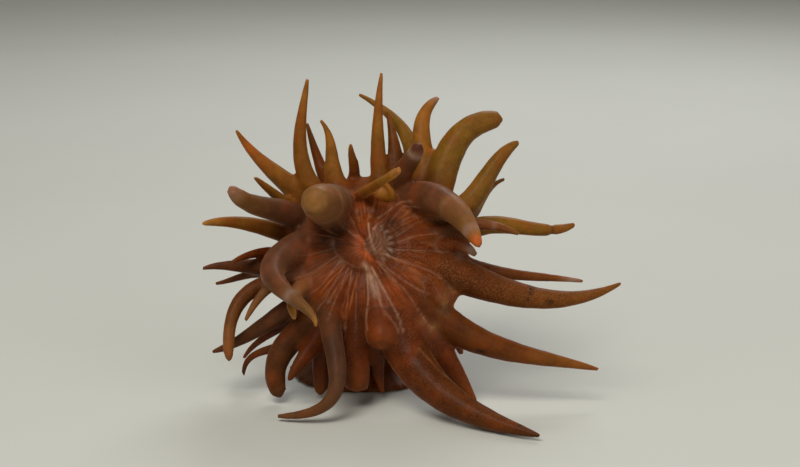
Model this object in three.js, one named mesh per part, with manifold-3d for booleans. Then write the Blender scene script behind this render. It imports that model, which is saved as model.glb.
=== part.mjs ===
// A small sea anemone at life size, standing on its sticky foot with the crown of
// tentacles tipped forward and open. Millimetres, +Z up, and the crown faces -Y.
// The origin is the middle of the sole of the foot, where it meets the ground.
import * as THREE from 'three';
import { mergeVertices } from 'three/addons/utils/BufferGeometryUtils.js';
import Module from 'manifold-3d';

const wasm = await Module();
wasm.setup();

// ---------------------------------------------------------------- driving dimensions
// The mouth is the point that the crown is set out from.
const MOUTH = new THREE.Vector3(0, -11, 19.5);
const CROWN_LIFT = 38;          // degrees that the crown's axis points above level
const CROWN_TURN = -14;         // degrees that it turns towards -X
const MOUTH_HEIGHT = 5.0;       // mouth above the plane of the rim
const RIM_RADIUS = 12.0;        // rim of the oral disc
const NECK_RADIUS = 5.8;        // where the crown joins the column
const NECK_DEPTH = 6.5;         // neck behind the plane of the rim
const COLUMN_WAIST = 5.0;       // radius of the column at its middle
const FOOT_RADIUS = 10.0;
const FOOT_HEIGHT = 2.0;
const GAP = 0.3;                // thin cut between one piece and the next
const TIP_RADIUS = 0.32;        // rounded end of every tentacle

// A front view is set out at arm's length, looking slightly down on the mouth.
const VIEW_DOWN = 14;           // degrees
const VIEW_REACH = 227;         // eye to mouth

// Roots stand in three rings on the oral disc, as radii from its middle.
const INNER = 8.2;
const MIDDLE = 10.2;
const OUTER = 11.6;
const ROOT_SINK = 0.9;          // how far a root starts under the disc's surface

// The mouth's opening, the seat that the lips stand in, and the rim's widest level.
const MOUTH_OPENING = 1.2;
const SEAT_RADIUS = 3.2;
const SEAT_HEIGHT = 3.7;
const THROAT_HEIGHT = 2.6;
const RIM_LEVEL = -0.8;

// Every tentacle: name, clock angle of its root on the disc (0 is +X, 90 is up), ring,
// tip as across, up and near from the mouth in the front view, then the shares of its
// length by which it bends to its left, hooks near the end and arches towards the eye,
// its width at the root, its taper (under 1 stays stout), and how many lengths it has.
// No lengths (0) means a stub too short to be parted from the crown.
const TENTACLES = [
  ['tentacle_01', 103, INNER, 1.9, 7.8, -0.6, 0.25, -1.05, 0.12, 2.5, 0.9, 1],
  ['tentacle_02', 93, MIDDLE, 2.0, 20.5, -9.0, 0.03, 0.00, 0.00, 2.5, 0.9, 2],
  ['tentacle_03', 85, OUTER, 2.6, 16.0, -11.0, -0.04, 0.00, 0.00, 2.7, 1, 1],
  ['tentacle_04', 79, INNER, 6.6, 12.0, 0.5, 0.10, -0.08, 0.00, 3.1, 0.35, 1],
  ['tentacle_05', 74, OUTER, -0.8, 17.9, -14.5, -0.22, 0.04, -0.12, 2.8, 0.9, 1],
  ['tentacle_06', 68, INNER, 13.8, -0.5, 7.0, 0.26, -0.06, 0.12, 4.7, 0.53, 2],
  ['tentacle_07', 65, MIDDLE, 9.0, 17.6, -9.5, -0.10, 0.20, 0.00, 3.4, 0.52, 1],
  ['tentacle_08', 51, MIDDLE, 16.8, 14.9, -8.0, 0.09, 0.12, 0.00, 4.1, 0.25, 2],
  ['tentacle_09', 38, MIDDLE, 18.6, 12.2, -7.0, -0.15, 0.14, 0.00, 3.3, 0.5, 1],
  ['tentacle_10', 31, OUTER, 16.9, 7.7, -9.5, -0.06, 0.12, 0.00, 2.2, 1, 1],
  ['tentacle_11', 24, INNER, 18.6, 1.0, 0.0, 0.12, 0.00, 0.10, 2.2, 0.7, 1],
  ['tentacle_12', 17, MIDDLE, 25.3, 2.3, -6.0, 0.20, -0.17, 0.00, 2.7, 0.5, 2],
  ['tentacle_13', 7, INNER, 13.4, -1.6, 1.5, 0.25, 0.00, 0.00, 2.2, 0.5, 0],
  ['tentacle_14', 3, OUTER, 26.2, -4.6, -7.0, -0.05, 0.03, 0.00, 1.9, 0.8, 1],
  ['tentacle_15', 354, MIDDLE, 30.8, -4.8, 0.0, -0.085, -0.04, 0.00, 4.5, 0.82, 2],
  ['tentacle_16', 338, INNER, 9.4, -7.8, 2.6, 0.10, 0.00, 0.10, 2.8, 0.3, 0],
  ['tentacle_17', 323, MIDDLE, 28.1, -15.2, -1.0, -0.11, 0.05, 0.00, 4.4, 0.85, 2],
  ['tentacle_18', 330, OUTER, 11.6, -13.4, -6.0, 0.00, 0.00, 0.00, 2.0, 0.5, 0],
  ['tentacle_19', 310, OUTER, 13.4, -19.1, -1.5, 0.04, -0.02, 0.00, 4.3, 0.85, 1],
  ['tentacle_20', 297, MIDDLE, 21.1, -23.2, 11.0, -0.18, 0.05, -0.02, 5.8, 0.78, 2],
  ['tentacle_21', 286, INNER, 1.9, -12.8, 3.4, 0.05, 0.00, 0.10, 4.7, 0.22, 0],
  ['tentacle_22', 281, OUTER, 2.2, -18.1, -3.8, -0.05, 0.00, -0.05, 1.8, 0.7, 1],
  ['tentacle_23', 268, MIDDLE, -1.1, -18.1, -0.2, -0.05, 0.04, 0.00, 3.8, 0.12, 1],
  ['tentacle_24', 257, OUTER, -2.2, -17.4, -5.0, 0.00, 0.00, -0.10, 1.4, 0.8, 0],
  ['tentacle_25', 248, OUTER, -5.4, -18.4, -4.0, -0.10, 0.05, -0.05, 2.4, 0.35, 1],
  ['tentacle_26', 240, INNER, -10.8, -20.8, 4.0, 0.11, 0.25, 0.24, 2.9, 0.6, 2],
  ['tentacle_27', 243, MIDDLE, -9.2, -16.6, 0.5, 0.03, -0.03, 0.00, 2.9, 0.6, 1],
  ['tentacle_28', 234, MIDDLE, -10.0, -18.8, -2.0, -0.13, -0.09, 0.00, 3.5, 0.25, 1],
  ['tentacle_29', 227, OUTER, -14.6, -16.0, -5.5, 0.26, -0.32, 0.00, 1.6, 0.7, 1],
  ['tentacle_30', 220, OUTER, -14.6, -13.9, -9.5, 0.04, -0.08, 0.00, 1.5, 0.8, 1],
  ['tentacle_31', 218, MIDDLE, -18.4, -13.1, -5.0, -0.01, 0.04, 0.00, 2.8, 0.7, 1],
  ['tentacle_32', 210, INNER, -8.4, -9.2, 3.0, -0.24, 0.00, 0.10, 2.2, 0.6, 1],
  ['tentacle_33', 203, INNER, -14.4, -9.4, -0.5, -0.20, 0.04, 0.00, 1.9, 0.7, 1],
  ['tentacle_34', 200, MIDDLE, -16.3, -14.3, -0.5, -0.32, 0.05, 0.00, 2.3, 0.4, 1],
  ['tentacle_35', 193, OUTER, -18.0, -4.9, -10.0, -0.15, 0.08, 0.00, 1.5, 0.8, 1],
  ['tentacle_36', 184, OUTER, -19.6, -3.1, -5.5, 0.06, -0.07, 0.00, 2.7, 0.85, 1],
  ['tentacle_37', 178, OUTER, -16.1, -2.4, -3.0, -0.10, 0.00, 0.00, 1.6, 0.7, 1],
  ['tentacle_38', 172, INNER, -5.9, -10.0, 9.0, -0.80, 0.50, 0.26, 4.2, 1, 2],
  ['tentacle_39', 165, OUTER, -19.6, 2.3, -4.0, -0.05, -0.02, 0.00, 2.5, 0.6, 1],
  ['tentacle_40', 155, MIDDLE, -16.3, 6.8, 2.0, -0.08, 0.14, 0.00, 3.5, 0.4, 1],
  ['tentacle_41', 151, OUTER, -13.3, 7.9, -5.0, 0.00, 0.00, 0.00, 2.0, 0.7, 1],
  ['tentacle_42', 141, OUTER, -15.5, 13.6, -8.0, 0.00, 0.04, 0.00, 3.6, 0.9, 1],
  ['tentacle_43', 135, MIDDLE, -6.9, 19.8, -8.0, 0.19, -0.07, 0.00, 2.8, 0.8, 2],
  ['tentacle_44', 132, INNER, -6.2, 5.2, 6.0, 0.00, 0.00, 0.10, 5.9, 0.25, 1],
  ['tentacle_45', 127, OUTER, -7.0, 14.5, -11.5, 0.02, 0.00, 0.00, 2.1, 0.9, 1],
  ['tentacle_46', 121, MIDDLE, -5.4, 14.8, -9.0, 0.10, -0.13, 0.00, 3.0, 1, 1],
  ['tentacle_47', 113, OUTER, -1.7, 11.9, -8.0, -0.14, 0.10, 0.00, 1.7, 0.7, 0],
  ['tentacle_48', 112, INNER, 4.2, 8.8, 9.0, 0.00, 0.00, 0.18, 1.4, 0.4, 1],
];

// ---------------------------------------------------------------- frames and placing
const radians = THREE.MathUtils.degToRad;
const mix = THREE.MathUtils.lerp;

// The crown's own frame: AXIS out of the mouth, ACROSS and UPWARD in the disc's plane.
const AXIS = new THREE.Vector3(
  Math.sin(radians(CROWN_TURN)) * Math.cos(radians(CROWN_LIFT)),
  -Math.cos(radians(CROWN_TURN)) * Math.cos(radians(CROWN_LIFT)),
  Math.sin(radians(CROWN_LIFT)),
);
const ACROSS = new THREE.Vector3().crossVectors(AXIS, new THREE.Vector3(0, 0, 1)).normalize().negate();
const UPWARD = new THREE.Vector3().crossVectors(AXIS, ACROSS);
const RIM_CENTRE = MOUTH.clone().addScaledVector(AXIS, -MOUTH_HEIGHT);

// The front view's own frame.
const SCREEN_UP = new THREE.Vector3(0, Math.sin(radians(VIEW_DOWN)), Math.cos(radians(VIEW_DOWN)));
const TO_EYE = new THREE.Vector3(0, -Math.cos(radians(VIEW_DOWN)), Math.sin(radians(VIEW_DOWN)));

// A place in the front view, with its perspective, as a point of the model.
function spot(across, up, near) {
  const shrink = (VIEW_REACH - near) / VIEW_REACH;
  return MOUTH.clone()
    .add(new THREE.Vector3(across * shrink, 0, 0))
    .addScaledVector(SCREEN_UP, up * shrink)
    .addScaledVector(TO_EYE, near);
}

// The other way round: where a point of the model stands in the front view.
function inFront(point) {
  const arm = point.clone().sub(MOUTH);
  const near = arm.dot(TO_EYE);
  const grow = VIEW_REACH / (VIEW_REACH - near);
  return new THREE.Vector3(arm.x * grow, arm.dot(SCREEN_UP) * grow, near);
}

// Height of the oral disc over the rim's plane: a low cone that falls away to the rim.
const DISC_EDGE = -0.6;
const DISC_TOP = 4.4;
const CONE_POWER = 0.8;
function discHeight(radius) {
  const slope = Math.cos((Math.PI / 2) * Math.min(radius / RIM_RADIUS, 1));
  return mix(DISC_EDGE, DISC_TOP, slope ** CONE_POWER);
}

// A point on the oral disc, or under it, by its clock angle and its radius.

function discPoint(clock, radius, sink) {
  const angle = radians(clock);
  return RIM_CENTRE.clone()
    .addScaledVector(ACROSS, radius * Math.cos(angle))
    .addScaledVector(UPWARD, radius * Math.sin(angle))
    .addScaledVector(AXIS, discHeight(radius) - sink);
}

// ---------------------------------------------------------------- solids
const WELD = 1e-4;
function toSolid(geometry) {
  const bare = geometry.index ? geometry.toNonIndexed() : geometry.clone();
  bare.deleteAttribute('normal');
  bare.deleteAttribute('uv');
  const merged = mergeVertices(bare, WELD);
  return new wasm.Manifold(new wasm.Mesh({
    numProp: 3,
    vertProperties: new Float32Array(merged.attributes.position.array),
    triVerts: new Uint32Array(merged.index.array),
  }));
}

function toGeometry(solid) {
  const mesh = solid.getMesh();
  const geometry = new THREE.BufferGeometry();
  geometry.setAttribute('position', new THREE.BufferAttribute(new Float32Array(mesh.vertProperties), 3));
  geometry.setIndex(new THREE.BufferAttribute(new Uint32Array(mesh.triVerts), 1));
  geometry.computeVertexNormals();
  return geometry;
}

function evenly(from, to, steps) {
  return Array.from({ length: steps + 1 }, (_, k) => mix(from, to, k / steps));
}

// A closed tube with round sections at stations along a path. The section is turned
// from ring to ring by the least turn, so it never twists. Its corners stand outside
// the round, so that its flats touch it. Both ends are closed by a fan.
function cornersOutside(sides) {
  return 1 / Math.cos(Math.PI / sides);
}

function sweep(pointAt, radiusAt, stations, sides) {
  const corners = [];
  const faces = [];
  const outside = cornersOutside(sides);
  const small = 0.01;
  let side = null;
  for (const t of stations) {
    const middle = pointAt(t);
    const ahead = pointAt(Math.min(t + small, 1)).sub(pointAt(Math.max(t - small, 0))).normalize();
    if (!side) {
      const steep = Math.abs(ahead.z) > 0.8;
      const level = steep ? new THREE.Vector3(1, 0, 0) : new THREE.Vector3(0, 0, 1);
      side = new THREE.Vector3().crossVectors(ahead, level);
    }
    side.addScaledVector(ahead, -side.dot(ahead)).normalize();
    const other = new THREE.Vector3().crossVectors(ahead, side);
    for (let k = 0; k < sides; k += 1) {
      const angle = (2 * Math.PI * k) / sides;
      const reach = radiusAt(t) * outside;
      corners.push(middle.clone()
        .addScaledVector(side, reach * Math.cos(angle))
        .addScaledVector(other, reach * Math.sin(angle)));
    }
  }
  for (let ring = 0; ring < stations.length - 1; ring += 1) {
    for (let k = 0; k < sides; k += 1) {
      const a = ring * sides + k;
      const b = ring * sides + ((k + 1) % sides);
      faces.push(a, b, b + sides, a, b + sides, a + sides);
    }
  }
  const last = (stations.length - 1) * sides;
  const closeStart = corners.push(pointAt(stations[0])) - 1;
  const closeEnd = corners.push(pointAt(stations.at(-1))) - 1;
  for (let k = 0; k < sides; k += 1) {
    const next = (k + 1) % sides;
    faces.push(closeStart, next, k);
    faces.push(closeEnd, last + k, last + next);
  }
  const geometry = new THREE.BufferGeometry().setFromPoints(corners);
  geometry.setIndex(faces);
  return toSolid(geometry);
}

// A turned body about the crown's axis, from a profile of [radius, height] pairs.
function turnedOnCrown(profile, sides) {
  const lathe = new THREE.LatheGeometry(profile.map(([r, h]) => new THREE.Vector2(r, h)), sides);
  lathe.applyMatrix4(new THREE.Matrix4().makeBasis(
    ACROSS, AXIS, new THREE.Vector3().crossVectors(ACROSS, AXIS),
  ));
  lathe.translate(RIM_CENTRE.x, RIM_CENTRE.y, RIM_CENTRE.z);
  return toSolid(lathe);
}

// ---------------------------------------------------------------- one tentacle
// In the front view a tentacle is the straight line from root to tip, plus one even bow
// (bend), one bow that peaks two thirds along (hook) and one towards the eye (arch).
const evenBow = (t) => 4 * t * (1 - t);
const lateBow = (t) => 6.75 * t * t * (1 - t);

function readTentacle(row) {
  const [name, clock, ring, across, up, near, bend, hook, arch, width, taper, lengths] = row;
  const root = inFront(discPoint(clock, ring, ROOT_SINK));
  const chord = new THREE.Vector2(across - root.x, up - root.y);
  const pointAt = (t) => {
    const aside = bend * evenBow(t) + hook * lateBow(t);
    return spot(
      root.x + chord.x * t - chord.y * aside,
      root.y + chord.y * t + chord.x * aside,
      mix(root.z, near, t) + arch * chord.length() * evenBow(t),
    );
  };
  let length = 0;
  const parts = 24;
  for (let k = 0; k < parts; k += 1) {
    length += pointAt(k / parts).distanceTo(pointAt((k + 1) / parts));
  }
  const shoulder = 1 - TIP_RADIUS / length;
  const radiusAt = (t) => {
    const body = mix(TIP_RADIUS, width / 2, Math.max(0, 1 - t / shoulder) ** taper);
    return t > shoulder ? TIP_RADIUS / 2 : body;
  };
  return { name, pointAt, radiusAt, length, width, lengths, shoulder };
}

const tentacles = TENTACLES.map(readTentacle);

// How far a point stands off the oral disc or its rim.
function offDisc(point) {
  const arm = point.clone().sub(RIM_CENTRE);
  const height = arm.dot(AXIS);
  const radius = arm.addScaledVector(AXIS, -height).length();
  if (radius < RIM_RADIUS) {
    return height - discHeight(radius);
  }
  return Math.hypot(radius - RIM_RADIUS, Math.max(0, height - RIM_LEVEL));
}

// Where a tentacle first stands clear of the disc and of every neighbour, for good, as
// a share of its length.
const SLACK = GAP + 0.15;
function standsClear(tentacle) {
  const parts = 40;
  const outside = cornersOutside(8);
  for (let k = parts; k >= 0; k -= 1) {
    const t = k / parts;
    const here = tentacle.pointAt(t);
    const own = tentacle.radiusAt(t);
    if (offDisc(here) < own * outside + SLACK) {
      return (k + 1) / parts;
    }
    for (const other of tentacles) {
      if (other === tentacle) {
        continue;
      }
      for (let j = 0; j <= parts; j += 1) {
        const reach = (own + other.radiusAt(j / parts)) * outside + SLACK;
        if (here.distanceTo(other.pointAt(j / parts)) < reach) {
          return (k + 1) / parts;
        }
      }
    }
  }
  return 0;
}

// The share of its length at which each tentacle leaves the crown.
const MOST_IN_CROWN = 0.7;
function leavesCrown(tentacle) {
  return Math.min(standsClear(tentacle), MOST_IN_CROWN);
}

// Stout tentacles have rounder sections than slim ones.
const STOUT = 2.25;
function sidesFor(tentacle) {
  return tentacle.width > STOUT ? 8 : 6;
}

// Rings stand about STEP apart. A free end gets one more ring to round it off.
const STEP = 2.6;
function lengthOf(tentacle, from, to) {
  const end = Math.min(to, tentacle.shoulder);
  const steps = Math.max(2, Math.ceil((tentacle.length * (end - from)) / STEP));
  const stations = evenly(from, end, steps);
  if (to > end) {
    stations.push(1);
  }
  return sweep(tentacle.pointAt, tentacle.radiusAt, stations, sidesFor(tentacle));
}

// ---------------------------------------------------------------- crown, mouth, column
const CROWN_SIDES = 32;
function crownBody() {
  const profile = [[0, THROAT_HEIGHT], [MOUTH_OPENING, THROAT_HEIGHT]];
  profile.push([MOUTH_OPENING, SEAT_HEIGHT], [SEAT_RADIUS, SEAT_HEIGHT]);
  for (const radius of [4.4, 6.5, 8.5, 10.4]) {
    profile.push([radius, discHeight(radius)]);
  }
  profile.push([RIM_RADIUS - 0.3, 0.2], [RIM_RADIUS, RIM_LEVEL], [RIM_RADIUS - 0.9, -2.2]);
  profile.push([8.6, -3.8], [6.6, -5.2], [NECK_RADIUS, -NECK_DEPTH], [0, -NECK_DEPTH]);
  return turnedOnCrown(profile.reverse(), CROWN_SIDES);
}

// The lips stand in a seat round the mouth's opening.
function lips() {
  const seat = SEAT_HEIGHT + GAP;
  const outer = SEAT_RADIUS - 0.2;
  return turnedOnCrown([
    [MOUTH_OPENING, seat], [outer - 0.1, seat], [outer, seat + 0.6], [2.4, seat + 1.3],
    [1.6, seat + 1.3], [MOUTH_OPENING, seat + 0.8], [MOUTH_OPENING, seat],
  ], 20);
}

// The column leaves the crown along its axis and comes down upright on the foot.
const NECK = RIM_CENTRE.clone().addScaledVector(AXIS, -NECK_DEPTH - GAP);
const COLUMN_PATH = new THREE.CubicBezierCurve3(
  NECK,
  NECK.clone().addScaledVector(AXIS, -4),
  new THREE.Vector3(0, 0, 6),
  new THREE.Vector3(0, 0, FOOT_HEIGHT + GAP),
);
const COLUMN_BASE = 6.1;
const COLUMN_SIDES = 16;
const COLUMN_SPLIT = 0.55;
const COLUMN_CUT = GAP / 10;    // the column is about 10 long

function columnRadius(t) {
  const corner = cornersOutside(COLUMN_SIDES);
  return mix(mix(NECK_RADIUS, COLUMN_BASE, t), COLUMN_WAIST, evenBow(t)) / corner;
}

function columnLength(from, to) {
  const steps = 4;
  return sweep((t) => COLUMN_PATH.getPoint(t), columnRadius, evenly(from, to, steps), COLUMN_SIDES);
}

function foot() {
  const lathe = new THREE.LatheGeometry([
    new THREE.Vector2(0, 0),
    new THREE.Vector2(FOOT_RADIUS - 0.2, 0),
    new THREE.Vector2(FOOT_RADIUS, 0.25),
    new THREE.Vector2(8.7, 0.9),
    new THREE.Vector2(COLUMN_BASE + 0.3, FOOT_HEIGHT),
    new THREE.Vector2(0, FOOT_HEIGHT),
  ], 32);
  lathe.rotateX(Math.PI / 2);
  return toSolid(lathe);
}

// ---------------------------------------------------------------- putting it together
// Everything is cut off level at the ground, so what touches it rests on a small flat.
function aboveGround(solid) {
  const tall = 100;
  const slab = new THREE.BoxGeometry(2 * tall, 2 * tall, tall);
  slab.translate(0, 0, tall / 2);
  return solid.intersect(toSolid(slab));
}

const group = new THREE.Group();

function add(name, solid, colour, roughness) {
  const material = new THREE.MeshStandardMaterial({ color: colour, roughness, metalness: 0 });
  const mesh = new THREE.Mesh(toGeometry(solid), material);
  mesh.name = name;
  group.add(mesh);
}

const DISC_BROWN = 0x6b2f14;
const TENTACLE_BROWN = 0x8a4c1e;
const LIP_ORANGE = 0xa8553a;

let crown = crownBody();
for (const tentacle of tentacles) {
  const whole = tentacle.lengths === 0;
  const cut = whole ? 1 : leavesCrown(tentacle);
  crown = crown.add(lengthOf(tentacle, 0, cut));
  const shares = [];
  const start = cut + GAP / tentacle.length;
  if (tentacle.lengths === 1) {
    shares.push([start, 1]);
  } else if (tentacle.lengths === 2) {
    const half = mix(start, 1, 0.5);
    shares.push([start, half], [half + GAP / tentacle.length, 1]);
  }
  shares.forEach(([from, to], order) => {
    const label = shares.length === 1 ? '' : ['_near', '_far'][order];
    add(`${tentacle.name}${label}`, aboveGround(lengthOf(tentacle, from, to)), TENTACLE_BROWN, 0.4);
  });
}
add('crown', crown, DISC_BROWN, 0.4);
add('lips', lips(), LIP_ORANGE, 0.4);
add('column_upper', columnLength(0, COLUMN_SPLIT), DISC_BROWN, 0.5);
add('column_lower', columnLength(COLUMN_SPLIT + COLUMN_CUT, 1), DISC_BROWN, 0.5);
add('foot', foot(), DISC_BROWN, 0.5);

export default group;
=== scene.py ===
# %% [markdown]
# # A small sea anemone
# This lesson makes the living finish of a small brown sea anemone: one soft skin over the
# foot, the column, the oral disc and four dozen tentacles. The solid model underneath is
# already built at life size, and the first cell loads it as a fixed frame in metres.
# Nothing in that frame is moved here. It says where the flesh is, and the skin follows it.

# %% Load the frame
import math
import bmesh
import bpy
import mathutils
import numpy as np
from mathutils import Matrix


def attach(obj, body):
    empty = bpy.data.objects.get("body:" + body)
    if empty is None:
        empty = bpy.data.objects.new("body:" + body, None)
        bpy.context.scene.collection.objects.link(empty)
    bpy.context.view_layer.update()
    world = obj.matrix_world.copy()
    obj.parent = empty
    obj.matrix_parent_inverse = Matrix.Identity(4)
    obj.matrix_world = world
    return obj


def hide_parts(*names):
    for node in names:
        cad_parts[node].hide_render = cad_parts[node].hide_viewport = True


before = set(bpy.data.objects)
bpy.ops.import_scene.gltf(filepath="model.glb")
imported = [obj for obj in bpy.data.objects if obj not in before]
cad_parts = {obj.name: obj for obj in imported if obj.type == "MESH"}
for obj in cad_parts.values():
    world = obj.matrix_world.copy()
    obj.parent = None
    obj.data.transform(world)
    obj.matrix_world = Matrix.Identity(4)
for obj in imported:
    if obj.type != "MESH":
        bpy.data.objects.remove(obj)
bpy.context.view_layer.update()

FLESH_NODES = list(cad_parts)
print("nodes of flesh:", len(FLESH_NODES))

# %% [markdown]
# ## The crown's frame
# An anemone is built round one axis. The crown's axis leaves the mouth, and the mouth faces
# the viewer and looks up a little. Every root is placed on the disc by a clock angle and a
# radius, as on a dial. Tips are placed in a front view instead, because that is how one
# reads a bunch of tentacles: how far across, how far up and how near. All shapes are worked
# out in millimetres and become metres when their mesh is made.

# %% Driving dimensions
MM = 0.001
MOUTH = np.array([0.0, -11.0, 19.5])
CROWN_LIFT = math.radians(38)
CROWN_TURN = math.radians(-14)
MOUTH_HEIGHT = 5.0
RIM_RADIUS = 12.0
DISC_EDGE = -0.6
DISC_RISE = 5.0
NECK_RADIUS = 5.8
NECK_DEPTH = 6.5
COLUMN_WAIST = 5.0
COLUMN_BASE = 6.1
TIP_RADIUS = 0.40
FINE_TIP = 0.19
ROOT_SINK = 0.9
VIEW_DOWN = math.radians(14)
VIEW_REACH = 227.0
INNER = 8.2
MIDDLE = 10.2
OUTER = 11.6

AXIS = np.array([
    math.sin(CROWN_TURN) * math.cos(CROWN_LIFT),
    -math.cos(CROWN_TURN) * math.cos(CROWN_LIFT),
    math.sin(CROWN_LIFT),
])
ACROSS = -np.cross(AXIS, (0, 0, 1))
ACROSS /= np.linalg.norm(ACROSS)
UPWARD = np.cross(AXIS, ACROSS)
RIM_CENTRE = MOUTH - MOUTH_HEIGHT * AXIS
SCREEN_UP = np.array([0, math.sin(VIEW_DOWN), math.cos(VIEW_DOWN)])
TO_EYE = np.array([0, -math.cos(VIEW_DOWN), math.sin(VIEW_DOWN)])
print("crown faces", AXIS.round(2), "and its rim is centred on", RIM_CENTRE.round(1))

# %% [markdown]
# ## A row for every tentacle
# No two tentacles lie alike, so each has one row: the clock angle and ring of its root, its
# tip in the front view, three shares of its length by which it bends, hooks and arches, its
# width at the root, and how fast it tapers. The first numbers were worked out from a few
# points read along each tentacle, and rows were then changed one at a time. These are the
# same rows that the solids use.

# %% The tentacles' rows
TENTACLES = {
    1: (103, INNER, 1.9, 7.8, -0.6, 0.25, -1.05, 0.12, 2.5, 0.9),
    2: (93, MIDDLE, 2.0, 20.5, -9.0, 0.03, 0.00, 0.00, 2.5, 0.9),
    3: (85, OUTER, 2.6, 16.0, -11.0, -0.04, 0.00, 0.00, 2.7, 1),
    4: (79, INNER, 6.6, 12.0, 0.5, 0.10, -0.08, 0.00, 3.1, 0.35),
    5: (74, OUTER, -0.8, 17.9, -14.5, -0.22, 0.04, -0.12, 2.8, 0.9),
    6: (68, INNER, 13.8, -0.5, 7.0, 0.26, -0.06, 0.12, 4.7, 0.53),
    7: (65, MIDDLE, 9.0, 17.6, -9.5, -0.10, 0.20, 0.00, 3.4, 0.52),
    8: (51, MIDDLE, 16.8, 14.9, -8.0, 0.09, 0.12, 0.00, 4.1, 0.25),
    9: (38, MIDDLE, 18.6, 12.2, -7.0, -0.15, 0.14, 0.00, 3.3, 0.5),
    10: (31, OUTER, 16.9, 7.7, -9.5, -0.06, 0.12, 0.00, 2.2, 1),
    11: (24, INNER, 18.6, 1.0, 0.0, 0.12, 0.00, 0.10, 2.2, 0.7),
    12: (17, MIDDLE, 25.3, 2.3, -6.0, 0.20, -0.17, 0.00, 2.7, 0.5),
    13: (7, INNER, 13.4, -1.6, 1.5, 0.25, 0.00, 0.00, 2.2, 0.5),
    14: (3, OUTER, 26.2, -4.6, -7.0, -0.05, 0.03, 0.00, 1.9, 0.8),
    15: (354, MIDDLE, 30.8, -4.8, 0.0, -0.085, -0.04, 0.00, 4.5, 0.82),
    16: (338, INNER, 9.4, -7.8, 2.6, 0.10, 0.00, 0.10, 2.8, 0.3),
    17: (323, MIDDLE, 28.1, -15.2, -1.0, -0.11, 0.05, 0.00, 4.4, 0.85),
    18: (330, OUTER, 11.6, -13.4, -6.0, 0.00, 0.00, 0.00, 2.0, 0.5),
    19: (310, OUTER, 13.4, -19.1, -1.5, 0.04, -0.02, 0.00, 4.3, 0.85),
    20: (297, MIDDLE, 21.1, -23.2, 11.0, -0.18, 0.05, -0.02, 5.8, 0.78),
    21: (286, INNER, 1.9, -12.8, 3.4, 0.05, 0.00, 0.10, 4.7, 0.22),
    22: (281, OUTER, 2.2, -18.1, -3.8, -0.05, 0.00, -0.05, 1.8, 0.7),
    23: (268, MIDDLE, -1.1, -18.1, -0.2, -0.05, 0.04, 0.00, 3.8, 0.12),
    24: (257, OUTER, -2.2, -17.4, -5.0, 0.00, 0.00, -0.10, 1.4, 0.8),
    25: (248, OUTER, -5.4, -18.4, -4.0, -0.10, 0.05, -0.05, 2.4, 0.35),
    26: (240, INNER, -10.8, -20.8, 4.0, 0.11, 0.25, 0.24, 2.9, 0.6),
    27: (243, MIDDLE, -9.2, -16.6, 0.5, 0.03, -0.03, 0.00, 2.9, 0.6),
    28: (234, MIDDLE, -10.0, -18.8, -2.0, -0.13, -0.09, 0.00, 3.5, 0.25),
    29: (227, OUTER, -14.6, -16.0, -5.5, 0.26, -0.32, 0.00, 1.6, 0.7),
    30: (220, OUTER, -14.6, -13.9, -9.5, 0.04, -0.08, 0.00, 1.5, 0.8),
    31: (218, MIDDLE, -18.4, -13.1, -5.0, -0.01, 0.04, 0.00, 2.8, 0.7),
    32: (210, INNER, -8.4, -9.2, 3.0, -0.24, 0.00, 0.10, 2.2, 0.6),
    33: (203, INNER, -14.4, -9.4, -0.5, -0.20, 0.04, 0.00, 1.9, 0.7),
    34: (200, MIDDLE, -16.3, -14.3, -0.5, -0.32, 0.05, 0.00, 2.3, 0.4),
    35: (193, OUTER, -18.0, -4.9, -10.0, -0.15, 0.08, 0.00, 1.5, 0.8),
    36: (184, OUTER, -19.6, -3.1, -5.5, 0.06, -0.07, 0.00, 2.7, 0.85),
    37: (178, OUTER, -16.1, -2.4, -3.0, -0.10, 0.00, 0.00, 1.6, 0.7),
    38: (172, INNER, -5.9, -10.0, 9.0, -0.80, 0.50, 0.26, 4.2, 1),
    39: (165, OUTER, -19.6, 2.3, -4.0, -0.05, -0.02, 0.00, 2.5, 0.6),
    40: (155, MIDDLE, -16.3, 6.8, 2.0, -0.08, 0.14, 0.00, 3.5, 0.4),
    41: (151, OUTER, -13.3, 7.9, -5.0, 0.00, 0.00, 0.00, 2.0, 0.7),
    42: (141, OUTER, -15.5, 13.6, -8.0, 0.00, 0.04, 0.00, 3.6, 0.9),
    43: (135, MIDDLE, -6.9, 19.8, -8.0, 0.19, -0.07, 0.00, 2.8, 0.8),
    44: (132, INNER, -6.2, 5.2, 6.0, 0.00, 0.00, 0.10, 5.9, 0.25),
    45: (127, OUTER, -7.0, 14.5, -11.5, 0.02, 0.00, 0.00, 2.1, 0.9),
    46: (121, MIDDLE, -5.4, 14.8, -9.0, 0.10, -0.13, 0.00, 3.0, 1),
    47: (113, OUTER, -1.7, 11.9, -8.0, -0.14, 0.10, 0.00, 1.7, 0.7),
    48: (112, INNER, 4.2, 8.8, 9.0, 0.00, 0.00, 0.18, 1.4, 0.4),
}
print("tentacles:", len(TENTACLES))

# %% [markdown]
# ## From a row to a path
# A tentacle is a water-filled tube that tapers to a blunt tip. Its middle line is a straight
# line in the front view, plus an even bow, plus a late bow that makes the hook. Its radius
# falls by a power of the distance still to go, and the tip is rounded as a small dome.

# %% Places on the disc and in the front view
def disc_height(radius):
    """Height over the rim's plane: a power of a cosine, highest at the mouth."""
    slope = np.cos(np.pi / 2 * np.clip(radius / RIM_RADIUS, 0, 1))
    return DISC_EDGE + DISC_RISE * slope ** 0.8


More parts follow.
